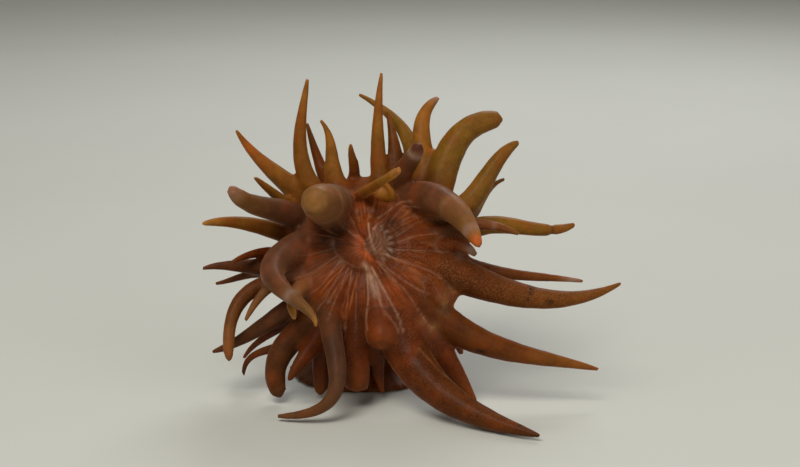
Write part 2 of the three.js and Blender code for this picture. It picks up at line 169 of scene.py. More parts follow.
def disc_point(clock, radius, sink):
    """A point on the disc by clock angle in degrees and radius, sunk along the axis."""
    angle = np.radians(clock)
    return (RIM_CENTRE + np.multiply.outer(radius * np.cos(angle), ACROSS)
            + np.multiply.outer(radius * np.sin(angle), UPWARD)
            + np.multiply.outer(disc_height(radius) - sink, AXIS))


def in_front(points):
    """Front view of points: across, up and near, scaled up with their distance."""
    arm = points - MOUTH
    near = arm @ TO_EYE
    grow = VIEW_REACH / (VIEW_REACH - near)
    return np.stack([arm[..., 0] * grow, arm @ SCREEN_UP * grow, near], axis=-1)


def from_front(across, up, near):
    """The same the other way round: front-view places as points of the model."""
    shrink = (VIEW_REACH - near) / VIEW_REACH
    return (MOUTH + np.multiply.outer(across * shrink, (1, 0, 0))
            + np.multiply.outer(up * shrink, SCREEN_UP)
            + np.multiply.outer(near, TO_EYE))


def middle_line(row, t):
    """Line from root to tip plus bend * 4t(1-t) and hook * 6.75t^2(1-t) of its length."""
    clock, ring, across, up, near, bend, hook, arch = row[:8]
    root = in_front(disc_point(clock, ring, ROOT_SINK))
    run, rise = across - root[0], up - root[1]
    bow = 4 * t * (1 - t)
    aside = bend * bow + hook * 6.75 * t * t * (1 - t)
    return from_front(
        root[0] + run * t - rise * aside,
        root[1] + rise * t + run * aside,
        root[2] + (near - root[2]) * t + arch * math.hypot(run, rise) * bow,
    )


def length_of(points):
    """Sum of the straight steps between the points."""
    return float(np.linalg.norm(np.diff(points, axis=0), axis=1).sum())


LENGTHS = {n: length_of(middle_line(row, np.linspace(0, 1, 60))) for n, row in TENTACLES.items()}
print("longest tentacle", round(max(LENGTHS.values()), 1), "mm")

# %% [markdown]
# ## Tubes round the middle lines
# A tube is a ring carried along a path. Both the tentacles and the body can be made that way:
# one array holds the rings' centres, another their two side directions, a third their radii,
# and the whole grid of points comes from one line of numpy. The frames need not be free of
# twist, because the tubes are melted together afterwards.

# %% Carry rings along a path
def unit(vectors):
    """Vectors divided by their lengths."""
    return vectors / np.linalg.norm(vectors, axis=-1, keepdims=True)


def smooth_step(start, end, value):
    """0 before start, 1 after end, and 3s^2 - 2s^3 between them."""
    s = np.clip((value - start) / (end - start), 0, 1)
    return s * s * (3 - 2 * s)


def once_round(sides):
    """Equal angles once round a circle, the last a step short of the first."""
    return np.linspace(0, 2 * np.pi, sides, endpoint=False)


def ring_grid(centres, side, up, radii, sides):
    """Point = centre + radius * (side * cos(a) + up * sin(a)); radii is per ring or per point."""
    angle = once_round(sides)
    radii = np.broadcast_to(np.reshape(radii, (len(centres), -1)), (len(centres), sides))
    round_way = (side[:, None, :] * np.cos(angle)[None, :, None]
                 + up[:, None, :] * np.sin(angle)[None, :, None])
    return centres[:, None, :] + radii[:, :, None] * round_way


def closed_tube(grid, first, last):
    """Quads between neighbouring rings, and a fan of triangles to a pole at each end."""
    rings, sides = grid.shape[:2]
    points = np.concatenate([grid.reshape(-1, 3), [first], [last]])
    here = np.arange((rings - 1) * sides).reshape(rings - 1, sides)
    beside = np.roll(here, -1, axis=1)
    quads = np.stack([here, beside, beside + sides, here + sides], axis=-1).reshape(-1, 4)
    low = np.arange(sides)
    high = low + (rings - 1) * sides
    first_fan = np.stack([np.roll(low, -1), low, np.full(sides, rings * sides)], axis=1)
    last_fan = np.stack([high, np.roll(high, -1), np.full(sides, rings * sides + 1)], axis=1)
    return points, quads, np.concatenate([first_fan, last_fan])


def tentacle_radius(row, t, length, tip=TIP_RADIUS):
    """Tip radius, plus the rest of the root's radius times (1 - t / shoulder)^taper."""
    width, taper = row[8:10]
    shoulder = 1 - tip / length
    fall = np.clip(1 - t / shoulder, 0, 1) ** taper
    return tip + (width / 2 - tip) * fall


# %% [markdown]
# ## One tentacle
# On the animal a tentacle has no seam at its root. It starts as a narrow pillow beside the
# lips, widens over the disc and only then comes free. So each tube first runs just under the
# disc, a little of its round back showing, and its middle line is eased where it turns away.
# Its far end closes in a small dome, and slow waves make it uneven, as soft tubes are.

# %% Sweep a tentacle
PILLOW_START = {INNER: 2.7, MIDDLE: 3.6, OUTER: 6.0}
PILLOW_RISE = 0.16
TUBE_STEP = 0.22
TUBE_SIDES = 20
TURN_RINGS = 14
TURN_ROUNDS = 12
UNEVEN = 0.010


def eased(line, rounds):
    """Each inner point of a line moved half-way to its two neighbours' middle, many times."""
    line = line.copy()
    for _ in range(rounds):
        line[1:-1] += 0.5 * ((line[:-2] + line[2:]) / 2 - line[1:-1])
    return line


def pillow_line(row, own_radius):
    """Under the disc from beside the lips to the root: depth = own radius - height shown."""
    clock, ring, width = row[0], row[1], row[8]
    s = np.linspace(0, 1, 24)[:-1]
    radius = PILLOW_START[ring] + (ring - PILLOW_START[ring]) * s
    room = 0.10 + 0.90 * s ** 0.85
    radii = own_radius * room
    shown = PILLOW_RISE + (width / 2 - ROOT_SINK - PILLOW_RISE) * s
    return disc_point(clock, radius, radii - shown), radii


def tentacle_tube(number, row):
    """Pillow under the disc + middle line + dome of cosine radii, as one closed tube."""
    length = LENGTHS[number]
    t = np.linspace(0, 1 - TIP_RADIUS / length, int(length / TUBE_STEP) + 6)
    line = middle_line(row, t)
    reach = t * length
    wave = np.sin(reach * 2.1 + number * 1.7) + 0.6 * np.sin(reach * 4.3 + number * 2.9)
    radii = tentacle_radius(row, t, length) * (1 - UNEVEN * (1.6 + wave))
    under, under_radii = pillow_line(row, radii[0])
    dome = np.linspace(0, np.pi / 2, 7)[1:-1]
    ahead = unit(line[-1] - line[-2])
    dome_line = line[-1] + np.multiply.outer(radii[-1] * np.sin(dome), ahead)
    tip = line[-1] + ahead * radii[-1]
    centres = np.concatenate([under, line])
    turning = len(under) + TURN_RINGS
    centres[:turning] = eased(centres[:turning], TURN_ROUNDS)
    centres = np.concatenate([centres, dome_line])
    radii = np.concatenate([under_radii, radii, radii[-1] * np.cos(dome)])
    ahead_all = unit(np.gradient(centres, axis=0))
    least = np.abs(ahead_all).max(axis=0).argmin()
    side = unit(np.cross(ahead_all, np.eye(3)[least]))
    grid = ring_grid(centres, side, np.cross(ahead_all, side), radii, TUBE_SIDES)
    return closed_tube(grid, centres[0], tip)


def gather(tubes):
    """Joins several (points, quads, triangles) by shifting each one's numbers."""
    points, quads, tris, shift = [], [], [], 0
    for some_points, some_quads, some_tris in tubes:
        points.append(some_points)
        quads.append(some_quads + shift)
        tris.append(some_tris + shift)
        shift += len(some_points)
    return np.concatenate(points), np.concatenate(quads), np.concatenate(tris)


tubes = [tentacle_tube(number, row) for number, row in TENTACLES.items()]
print("tentacle tubes:", len(tubes), "points:", sum(len(tube[0]) for tube in tubes))

# %% [markdown]
# ## The disc, the column and the foot
# The rest of the body is one turned shape, from the middle of the disc, over the rim and down
# the neck, then along a bent column to the foot. The disc isn't smooth: inside the animal a
# partition meets it between each two tentacles, and the skin stands up a little in between.
# So each tentacle gets a sector of the disc, as wide as its root, with a low pillow on it.

# %% Share the disc out between the tentacles
SECTORS = len(TENTACLES)
PILLOW_SHARE = 0.16
CLOCKS = np.array([row[0] for row in TENTACLES.values()], float)
WIDTHS = np.array([row[8] for row in TENTACLES.values()])
ROUND = np.argsort(CLOCKS % 360)
sector_clock = CLOCKS[ROUND] % 360
sector_width = WIDTHS[ROUND]
ahead_clock = np.append(sector_clock[1:], sector_clock[0] + 360)
ahead_width = np.append(sector_width[1:], sector_width[0])
share = sector_width / (sector_width + ahead_width)
edges = sector_clock + (ahead_clock - sector_clock) * (0.5 + 0.6 * (share - 0.5))
SECTOR_EDGES = np.concatenate([[edges[-1] - 360], edges])
print("sector widths in degrees:", np.diff(SECTOR_EDGES).min().round(1), "to",
      np.diff(SECTOR_EDGES).max().round(1))


def sector_place(clock):
    """Sector number plus the share of that sector passed, 0 to 48 round the disc."""
    turned = (clock - SECTOR_EDGES[0]) % 360 + SECTOR_EDGES[0]
    return np.interp(turned, SECTOR_EDGES, np.arange(len(SECTOR_EDGES)))


def pillow(radius, clock):
    """Half a sine across each sector, a share of its width high, and none near the mouth."""
    place = sector_place(clock)
    across = np.abs(np.sin(np.pi * place))
    middles = np.arange(SECTORS) + 0.5
    width = np.interp(place % SECTORS, middles, np.diff(SECTOR_EDGES), period=SECTORS)
    height = PILLOW_SHARE * np.radians(width) * radius * smooth_step(2.5, 5.5, radius)
    return height * (across ** 0.8 - 0.75)


# %% [markdown]
# ## The body under the crown
# Below the crown stands the column, a soft tube full of water, and under it the foot, a flat
# disc that holds on to the rock. Both are round, so a lathe would do, but the column leans and
# bulges. Rings carried along a bent line keep the lean, and a wave round each ring gives the
# lengthwise folds of slack skin, which stand proud of the tube by a part of a millimetre.

# %% Turn the body
BODY_SIDES = 256
SLACK = 0.2
FOLDS_ROUND = 24


def crown_rings():
    """Disc (height by radius), then the rim and the underside by a short smooth profile."""
    disc_radius = np.linspace(0.3, 11.4, 56)
    angle = once_round(BODY_SIDES)
    radius, around = np.meshgrid(disc_radius, np.degrees(angle), indexing="ij")
    height = disc_height(radius) - 0.05 + pillow(radius, around)
    edge = np.array([(11.62, -0.05), (11.75, -0.45), (11.7, -0.85), (11.4, -1.5), (10.9, -2.2),
                     (9.9, -3.0), (8.5, -3.8), (7.3, -4.7), (6.4, -5.6), (5.8, -6.4),
                     (5.5, -7.2), (5.0, -8.0)])
    radius = np.concatenate([radius, np.repeat(edge[:, :1], BODY_SIDES, axis=1)])
    height = np.concatenate([height, np.repeat(edge[:, 1:], BODY_SIDES, axis=1)])
    round_way = np.multiply.outer(np.cos(angle), ACROSS) + np.multiply.outer(np.sin(angle), UPWARD)
    return RIM_CENTRE + radius[..., None] * round_way[None] + height[..., None] * AXIS


def column_rings():
    """Cubic Bezier from the neck to the foot, its radius waisted by 4t(1-t), its skin fluted."""
    neck = RIM_CENTRE - NECK_DEPTH * AXIS
    handles = np.array([neck, neck - 4.2 * AXIS, (0, 0, 6), (0, 0, 1.8)])
    t = np.linspace(0, 1, 40)[:, None]
    weights = np.hstack([(1 - t) ** 3, 3 * t * (1 - t) ** 2, 3 * t * t * (1 - t), t ** 3])
    centres = weights @ handles
    ahead = unit(np.gradient(centres, axis=0))
    side = np.broadcast_to(ACROSS, ahead.shape)
    side = unit(side - (side * ahead).sum(axis=1, keepdims=True) * ahead)
    up = np.cross(side, ahead)
    even = NECK_RADIUS + (COLUMN_BASE - NECK_RADIUS) * t
    radii = even + (COLUMN_WAIST - even) * 4 * t * (1 - t)
    angle = once_round(BODY_SIDES)
    flutes = 0.10 * np.sin(FOLDS_ROUND * angle + 0.7 * np.sin(t * 9)) + 0.08 * np.sin(t * 34)
    return ring_grid(centres, side, up, radii - SLACK + flutes, BODY_SIDES)


def foot_rings():
    """A pedal disc turned from (radius, height) pairs, with a wavy edge inside the solid."""
    profile = np.array([(6.0, 2.15), (6.4, 1.95), (7.4, 1.5), (8.6, 0.95), (9.4, 0.6),
                        (9.85, 0.3), (9.75, 0.08), (9.5, 0.0)])
    angle = once_round(BODY_SIDES)
    wave = 0.12 * np.sin(11 * angle) + 0.10 * np.sin(FOLDS_ROUND * angle + 1.0)
    fade = np.clip((profile[:, :1] - 5.5) / 4, 0, 1)
    radii = profile[:, :1] - (0.22 - wave) * fade
    centres = profile[:, 1:] * (0, 0, 1)
    side = np.tile((1.0, 0.0, 0.0), (len(profile), 1))
    up = np.tile((0.0, -1.0, 0.0), (len(profile), 1))
    return ring_grid(centres, side, up, radii, BODY_SIDES)


def closed_shape(grid):
    """A ring grid closed by poles at the middles of its end rings."""
    return closed_tube(grid, grid[0].mean(axis=0), grid[-1].mean(axis=0))


crown = crown_rings()
column = column_rings()
foot = foot_rings()
print("body rings:", len(crown), len(column), len(foot))

# %% [markdown]
# ## One skin
# The tubes and the body still cross each other. A voxel remesh fills them with small cubes
# and draws one closed surface round the lot, so that roots, disc and column become one skin
# with no seam. Its steps are then smoothed away by moving each point towards the mean of its
# neighbours and part of the way back, which keeps thin tips from shrinking.

# %% Melt the shapes into one surface
VOXEL = 0.31
HALF_WAY = 0.5
AND_BACK = -0.53
MELT_ROUNDS = 14


def new_mesh(name, points, faces):
    """A mesh from an array of points and a list of face arrays."""
    mesh = bpy.data.meshes.new(name)
    mesh.from_pydata(points.tolist(), [], [face for part in faces for face in part.tolist()])
    return mesh


def face_outward(mesh):
    """Recalculates the normals of a closed mesh so that all point out."""
    work = bmesh.new()
    work.from_mesh(mesh)
    bmesh.ops.recalc_face_normals(work, faces=work.faces)
    work.to_mesh(mesh)
    work.free()


def melted(points, quads, tris):
    """Voxel remesh of crossing closed shapes; returns points and quads."""
    mesh = new_mesh("soft_shapes", points, [quads, tris])
    face_outward(mesh)
    thing = bpy.data.objects.new("soft_shapes", mesh)
    bpy.context.scene.collection.objects.link(thing)
    remesh = thing.modifiers.new("melt", "REMESH")
    remesh.mode = "VOXEL"
    remesh.voxel_size = VOXEL
    remesh.adaptivity = 0
    solid = thing.evaluated_get(bpy.context.evaluated_depsgraph_get()).to_mesh()
    out = np.empty(len(solid.vertices) * 3)
    solid.vertices.foreach_get("co", out)
    corners = np.empty(len(solid.loops), dtype=int)
    solid.loops.foreach_get("vertex_index", corners)
    print("remeshed:", len(solid.vertices), "points,", len(solid.polygons), "quads, loops",
          len(solid.loops))
    bpy.data.objects.remove(thing)
    bpy.data.meshes.remove(mesh)
    return out.reshape(-1, 3), corners.reshape(-1, 4)


def edges_of(quads):
    """Every edge of the quads once, as pairs of point numbers."""
    pairs = np.concatenate([quads, np.roll(quads, -1, axis=1)], axis=1)
    pairs = pairs.reshape(-1, 2, 4).transpose(0, 2, 1).reshape(-1, 2)
    return np.unique(np.sort(pairs, axis=1), axis=0)


def neighbour_mean(values, pairs):
    """Mean of each point's neighbours, by counting along the edges."""
    count = np.bincount(pairs.ravel(), minlength=len(values))
    total = np.stack([
        np.bincount(pairs[:, 0], values[pairs[:, 1], k], len(values))
        + np.bincount(pairs[:, 1], values[pairs[:, 0], k], len(values))
        for k in range(values.shape[1])
    ], axis=1)
    return total / count[:, None]


def smoothed(points, pairs, rounds):
    """Half-way to the neighbours' mean, then back by a little more than half, many times."""
    for _ in range(rounds):
        for amount in (HALF_WAY, AND_BACK):
            points = points + amount * (neighbour_mean(points, pairs) - points)
    return points


soup = gather(tubes + [closed_shape(crown), closed_shape(column), closed_shape(foot)])
points, quads = melted(*soup)
points = smoothed(points, edges_of(quads), MELT_ROUNDS)
print("skin:", len(points), "points, lowest", points[:, 2].min().round(3))

# %% [markdown]
# ## The tips of the tentacles
# A tentacle ends in a tip finer than the grid that the surface was melted on, so the melted
# tips come out thick and blunt. A finer grid everywhere would cost millions of faces. The
# points near a tip are moved instead: each keeps its direction from the tentacle's middle line
# and takes the true distance from it, and the last ones are drawn along the line to its end.

# %% Draw the tentacles out to their fine tips
BLUNT = 0.45
NECKS = {12: (0.80, 0.26)}
NECK_WIDTH = 0.35
FINE_STEP = 0.15
FINE_UNEVEN = 0.012
BOX_MARGIN = 3
BATCH = 4000
FAR = 9.0


def bell(distance, width):
    """exp(-(distance / width)^2)"""
    return np.exp(-(distance / width) ** 2)


def in_crown(points):
    """Crown coordinates of points: along ACROSS, along UPWARD, and height over the rim."""
    arm = points - RIM_CENTRE
    return arm @ ACROSS, arm @ UPWARD, arm @ AXIS


def nearest_on(line, radii, points):
    """Least of distance - radius from points to a line's own points, and which one."""
    best = np.full(len(points), np.inf)
    which = np.zeros(len(points), dtype=int)
    for start in range(0, len(points), BATCH):
        part = slice(start, start + BATCH)
        gap = np.linalg.norm(points[part, None] - line[None], axis=2) - radii
        which[part] = gap.argmin(axis=1)
        best[part] = gap.min(axis=1)
    return best, which


def near_to(line, points):
    """Numbers of the points inside the line's box, made a margin wider on every side."""
    low, high = line.min(axis=0) - BOX_MARGIN, line.max(axis=0) + BOX_MARGIN
    return np.flatnonzero(((points > low) & (points < high)).all(axis=1))


def fine_fit(number, row, line, t, points):
    """Gap to one tentacle, centre + direction * fine radius, and how free a point is to go."""
    length = LENGTHS[number]
    ahead = unit(np.gradient(line, axis=0))
    gap, which = nearest_on(line, tentacle_radius(row, t, length), points)
    arm = points - line[which]
    to_end = (t[-1] - t[which]) * length
    along = np.clip((arm * ahead[which]).sum(axis=1), -1.5, np.minimum(1.5, to_end))
    centre = line[which] + along[:, None] * ahead[which]
    reach = t[which] * length + along
    wave = np.sin(reach * 1.3 + number * 1.7) + 0.6 * np.sin(reach * 2.9 + number)
    fine = tentacle_radius(row, reach / length, length, FINE_TIP)
    steep = (fine - tentacle_radius(row, reach / length + 0.01, length, FINE_TIP)) / length * 100
    fine = fine * (1 - FINE_UNEVEN * (1.6 + wave))
    if number in NECKS:
        place, deep = NECKS[number]
        fine = fine * (1 - deep * bell(reach - place * length, NECK_WIDTH))
    free = smooth_step(2.6, 4.6, reach) * (1 - smooth_step(0.5, 1.2, steep))
    if row[9] < BLUNT:
        free = free * (1 - smooth_step(0.72, 0.84, reach / length))
    return gap, centre + unit(points - centre) * fine[:, None], free


def drawn_out(points):
    """Moves points to their fine fit where they are clear of the disc and other tentacles."""
    across, up, height = in_crown(points)
    radius = np.hypot(across, up)
    over_disc = np.where(radius < 11.5, np.abs(height - disc_height(radius)), FAR)
    gaps = np.stack([np.full(len(points), FAR), over_disc])
    goals = points.copy()
    amount = np.zeros(len(points))
    for number, row in TENTACLES.items():
        t = np.linspace(0, 1 - FINE_TIP / LENGTHS[number], int(LENGTHS[number] / FINE_STEP) + 6)
        line = middle_line(row, t)
        close = near_to(line, points)
        gap, goal, free = fine_fit(number, row, line, t, points[close])
        nearer = gap < gaps[0, close]
        gaps[1, close] = np.minimum(gaps[1, close], np.where(nearer, gaps[0, close], gap))
        mine = close[nearer]
        gaps[0, mine] = gap[nearer]
        goals[mine] = goal[nearer]
        amount[mine] = free[nearer]
    amount *= smooth_step(0.25, 0.7, gaps[1]) * (np.abs(gaps[0]) < 0.5)
    print("points drawn out:", int((amount > 0.5).sum()))
    return points + amount[:, None] * (goals - points)


points = drawn_out(points)

# %% [markdown]
# ## A finer mesh where the skin is finest
# The folds of the lips are a tenth of a millimetre wide, and the column's skin has nothing as
# small. So only the disc's faces are cut in four, and those round the mouth once more. Each
# new point is then eased between its neighbours, so that the cuts don't show as facets.

# %% Refine the disc and the mouth
def on_disc(points, reach, depth=0.9, stand=2.2):
    """True for points within reach of the crown's axis and close to the disc's surface."""
    across, up, height = in_crown(points)
    radius = np.hypot(across, up)
    off = height - disc_height(radius)
    return (radius < reach) & (off > -depth) & (off < stand)


def read_points(mesh):
    """The mesh's points as an array of rows."""
    flat = np.empty(len(mesh.vertices) * 3)
    mesh.vertices.foreach_get("co", flat)
    return flat.reshape(-1, 3)


def read_pairs(mesh):
    """The mesh's edges as pairs of point numbers."""
    flat = np.empty(len(mesh.edges) * 2, dtype=np.int32)
    mesh.edges.foreach_get("vertices", flat)
    return flat.reshape(-1, 2)


def refine(mesh, reach, rounds):
    """Cuts the disc's edges within reach in two, then smooths that region."""
    chosen = on_disc(read_points(mesh), reach)
    work = bmesh.new()
    work.from_mesh(mesh)
    edges = [edge for edge in work.edges
             if chosen[edge.verts[0].index] and chosen[edge.verts[1].index]]
    bmesh.ops.subdivide_edges(work, edges=edges, cuts=1, use_grid_fill=True)
    work.to_mesh(mesh)
    work.free()
    points = read_points(mesh)
    region = on_disc(points, reach)[:, None]
    points = np.where(region, smoothed(points, read_pairs(mesh), rounds), points)
    mesh.vertices.foreach_set("co", points.ravel())


mesh = new_mesh("anemone_skin", points, [quads])
face_outward(mesh)
refine(mesh, 9.2, 2)
refine(mesh, 3.9, 1)
mesh.calc_loop_triangles()
print("refined skin:", len(mesh.vertices), "points,", len(mesh.loop_triangles), "triangles")

# %% [markdown]
# ## The mouth
# The mouth is a slit between two soft lips, and the lips are puckered: their skin has many
# folds that run out from the slit. One lip is turned out into a low rosette with rings on it.
# This could be sculpted by hand. Here it's a height over the disc, added up from a few
# bell curves and waves, so that each feature keeps its own line and its own number. First
# come the places: how far along and off the slit a point lies, and where in the rosette.

# %% Find places round the mouth
LIP_TURN = math.radians(120)
LIP_MIDDLE = (0.2, -0.2)
LIP_RADIUS = 1.9
ROSETTE = (1.45, -0.10)
ROSETTE_RADIUS = 1.6
ARCS_ROUND = (0.0, 0.75)
PUCKERS = 19
FRILL_TEETH = 15


def ripple(points, scale, seed):
    """A smooth uneven value from -1 to 1: the mean of five tilted sine waves."""
    way = np.random.default_rng(seed).normal(size=(5, points.shape[1]))
    way /= np.linalg.norm(way, axis=1, keepdims=True)
    phase = points @ way.T * (2 * np.pi / scale)
    bent = np.sin(phase + 1.3 * np.sin(np.roll(phase, 1, axis=1) * 0.7 + seed))
    return bent.mean(axis=1)


def mouth_places(front):
    """Distance along and off the slit, distance from and angle round its middle."""
    across, up = front[:, 0] - LIP_MIDDLE[0], front[:, 1] - LIP_MIDDLE[1]
    along = across * math.cos(LIP_TURN) + up * math.sin(LIP_TURN)
    off = -across * math.sin(LIP_TURN) + up * math.cos(LIP_TURN)
    oval = np.hypot(along / 1.12, off)
    return along, off + 0.14 * np.sin(1.9 * along + 0.6), oval, np.arctan2(off, along)


def puckers(front):
    """cos of PUCKERS turns of the angle round the mouth, bent and broken by slow ripples."""
    oval, angle = mouth_places(front)[2:]
    bend = 1.7 * np.sin(3 * angle + 0.5) + 1.1 * oval + 1.6 * ripple(front, 2.3, 5)
    return np.cos(PUCKERS * angle + bend) * (0.55 + 0.45 * ripple(front, 1.7, 8))


def rosette_places(front):
    """Share inside the rosette, its bent arcs from -1 to 1, its edge and the angle round it."""
    across, up = front[:, 0] - ROSETTE[0], front[:, 1] - ROSETTE[1]
    middle = np.hypot(across, up / 1.12)
    angle = np.arctan2(up, across)
    uneven = middle + 0.14 * np.sin(3 * angle + 1) + 0.12 * ripple(front, 1.6, 11)
    inside = 1 - smooth_step(ROSETTE_RADIUS - 0.3, ROSETTE_RADIUS + 0.2, uneven)
    turn = np.hypot(front[:, 0] - ARCS_ROUND[0], front[:, 1] - ARCS_ROUND[1])
    arcs = np.cos(turn * 13 + 2.2 * ripple(front, 2.0, 7)) * (0.5 + 0.6 * ripple(front, 0.8, 2))
    return inside, arcs, bell(uneven - ROSETTE_RADIUS - 0.12, 0.36), angle


def frill_of(front):
    """Uneven teeth round the rosette's outer side: edge bell x raised cosine of its angle."""
    edge, angle = rosette_places(front)[2:]
    teeth = 0.5 + 0.5 * np.cos(FRILL_TEETH * angle + 2.2 * ripple(front, 1.5, 9))
    return edge * teeth * smooth_step(-0.2, 0.7, np.cos(angle - 0.1))


frill_at_side = frill_of(np.array([(3.0, -0.1, 0.0)]))[0]
print("the frill at the rosette's outer side, 0 to 1:", round(float(frill_at_side), 2))

# %% [markdown]
# ## Folding the lips
# With those places known, the folds are a sum: a crest round the mouth, a slit in its middle,
# a moat round the outside, puckers across the crest, and the rosette's low dome with its arcs
# and its frill. The points move only along the crown's axis, so no fold can cross another.

# %% Fold the lips
def mouth_relief(front):
    """Crest bell + slit and moat bells + puckers + the rosette's dome, arcs and frill."""
    along, off, oval, angle = mouth_places(front)
    crest = (0.42 - 0.16 * smooth_step(0.0, 1.4, off)) * bell(oval - LIP_RADIUS, 0.85)
    slit = -0.32 * bell(off, 0.17) * bell(along - 0.2, 1.5)
    band = 0.16 * bell(off - 0.42, 0.22) * bell(along + 0.4, 1.6)
    moat = -0.34 * bell(oval - 3.6, 0.95) * (1 - 0.5 * np.sin(angle))
    inside, arcs = rosette_places(front)[:2]
    folds = 0.15 * puckers(front) * bell(oval - 2.0, 0.9) * (1 - inside)
    dome = (0.22 + 0.035 * arcs) * inside + 0.22 * frill_of(front)
    return crest + slit * (1 - 0.5 * inside) + band + moat + folds + dome


def fold_lips(mesh):
    """Moves the points near the mouth along the crown's axis by mouth_relief."""
    points = read_points(mesh)
    across, up = in_crown(points)[:2]
    near = 1 - smooth_step(4.6, 6.2, np.hypot(across, up))
    near = near * on_disc(points, 6.5, depth=1.5)
    points = points + (mouth_relief(in_front(points)) * near)[:, None] * AXIS
    mesh.vertices.foreach_set("co", points.ravel())
    return int((near > 0).sum())


print("points in and round the lips:", fold_lips(mesh))

# %% [markdown]
# ## Colours that belong to the animal
# A live anemone's colours change along each tentacle and from one tentacle to the next, so no
# single pattern can give them. They are worked out point by point and kept in the mesh as
# attributes, which the material then reads. Each tentacle has a named finish with colours for
# its root, middle and tip, and a point mixes the finishes of the tentacles it lies on.

# %% Finishes and which tentacle has which
def srgb(red, green, blue):
    """A colour picked on screen, 0 to 255, as linear light: ((c + 0.055) / 1.055)^2.4."""
    c = np.array([red, green, blue]) / 255
    return np.where(c < 0.04045, c / 12.92, ((c + 0.055) / 1.055) ** 2.4)


FINISHES = {
    "amber": (srgb(88, 40, 10), srgb(104, 55, 13), srgb(130, 78, 23)),
    "gold": (srgb(104, 58, 13), srgb(128, 90, 19), srgb(126, 83, 21)),
    "rust": (srgb(82, 33, 9), srgb(94, 39, 9), srgb(112, 56, 16)),
    "dusk": (srgb(76, 29, 5), srgb(82, 37, 6), srgb(84, 42, 8)),
    "umber": (srgb(82, 42, 14), srgb(80, 42, 16), srgb(94, 52, 22)),
    "orange": (srgb(112, 62, 16), srgb(134, 86, 23), srgb(152, 96, 28)),
    "mauve": (srgb(80, 38, 13), srgb(98, 57, 31), srgb(138, 94, 38)),
    "slate": (srgb(76, 38, 15), srgb(82, 48, 27), srgb(112, 72, 32)),
    "straw": (srgb(118, 62, 16), srgb(142, 88, 22), srgb(172, 118, 42)),
}
WEARS = {
    "gold": (8, 9, 10, 12, 5),
    "dusk": (20,),
    "rust": (13, 16, 18, 19, 21, 22, 23, 24, 25, 27, 30, 37),
    "umber": (4, 28, 29, 31, 35, 36),
    "orange": (7, 42, 43, 46, 39, 41, 1, 2),
    "mauve": (6, 33, 38, 44, 40),
    "slate": (26,),
    "straw": (48, 32),
}
FINISH_OF = {number: name for name, numbers in WEARS.items() for number in numbers}
# How much grey-mauve each tentacle shows: partly its translucent skin's own colour, partly a painted
# sheen of light reflected from the wet skin.
FILM_AND_SHEEN = {38: 0.6, 44: 0.6, 26: 0.5, 6: 0.3, 32: 0.8, 33: 0.6, 34: 0.5, 40: 0.35, 31: 0.4,
        11: 0.5, 4: 0.3}
STIPPLE = {15: 1.0, 17: 0.25, 20: 0.45, 12: 0.45, 13: 0.7, 16: 0.9, 8: 0.8, 9: 0.8}
CHALK = srgb(152, 128, 112)
PINK = srgb(172, 132, 116)
YELLOW = srgb(186, 130, 56)
# Painted glow: a bright orange that stands in for light shining through thin flesh.
PAINTED_GLOW = srgb(198, 92, 28)
WINE = srgb(66, 20, 12)
DARK = srgb(34, 17, 8)
BEIGE = srgb(146, 106, 66)
BANDS = {
    4: [(0.82, 0.40, CHALK, 0.75), (0.93, 0.42, WINE, 0.80)],
    6: [(0.50, 0.50, BEIGE, 0.45), (0.82, 0.55, CHALK, 0.70), (0.94, 0.80, PAINTED_GLOW, 0.85)],
    7: [(0.98, 0.80, PINK, 0.85)],
    11: [(0.70, 0.35, CHALK, 0.55)],
    # Painted shade: tentacle 12 darkens in the crease where its neck is pinched.
    12: [(0.80, 0.12, DARK, 0.80)],
    13: [(0.85, 0.80, CHALK, 0.55)],
    14: [(0.90, 1.20, CHALK, 0.75)],
    32: [(0.95, 1.40, YELLOW, 0.75), (0.45, 0.60, CHALK, 0.35)],
    38: [(0.62, 0.55, CHALK, 0.60), (0.98, 1.80, YELLOW, 0.80)],
    39: [(0.97, 1.60, YELLOW, 0.70)],
    40: [(0.97, 1.30, PINK, 0.50)],
    42: [(0.80, 1.80, PAINTED_GLOW, 0.40)],
    # Painted highlight: the pale beige band half-way along tentacle 44.
    44: [(0.50, 0.80, BEIGE, 0.50), (0.97, 0.70, YELLOW, 0.35)],
    48: [(0.95, 0.90, BEIGE, 0.60)],
}
for name, numbers in WEARS.items():
    print(name, len(numbers))
print("tentacles with bands:", len(BANDS))


# %% [markdown]
# ## Which colour goes where
# Colour follows the flesh: it changes along each tentacle and blends where two of them meet.
# A texture on the object's own coordinates can't know which tentacle it is on, so the colour is
# worked out for every point of the mesh and stored as an attribute. Each point takes a mean
# of the finishes near it, and the nearest tentacle counts for far more than the others.

# %% Work out the colours along the tentacles
PLAIN_FLESH = srgb(92, 42, 12)
OWN_TONE = 0.10
BLEND = 0.16
SLIGHT_FILM_AND_SHEEN = 0.06
SLIGHT_STIPPLE = 0.22


def mix_into(colour, other, amount):
    """colour * (1 - amount) + other * amount, point by point."""
    amount = np.clip(amount, 0, 1)[:, None]
    return colour * (1 - amount) + np.asarray(other) * amount


def along_finish(number, share):
    """Ramps from root to middle to tip colour at shares 0, 0.45 and 1, then bell-shaped bands."""
    stops = np.array(FINISHES[FINISH_OF.get(number, "amber")])
    parts = [np.interp(share, (0.0, 0.45, 1.0), stops[:, k]) for k in range(3)]
    colour = np.stack(parts, axis=-1) * (1 + OWN_TONE * math.sin(number * 12.9898))
    for place, width, band, strength in BANDS.get(number, ()):
        off = (share - place) * LENGTHS[number]
        colour = mix_into(colour, band, strength * bell(off, width))
    return colour


def read_normals(mesh):
    """The outward direction of the skin at each point."""
    flat = np.empty(len(mesh.vertices) * 3)
    mesh.vertices.foreach_get("normal", flat)
    return flat.reshape(-1, 3)


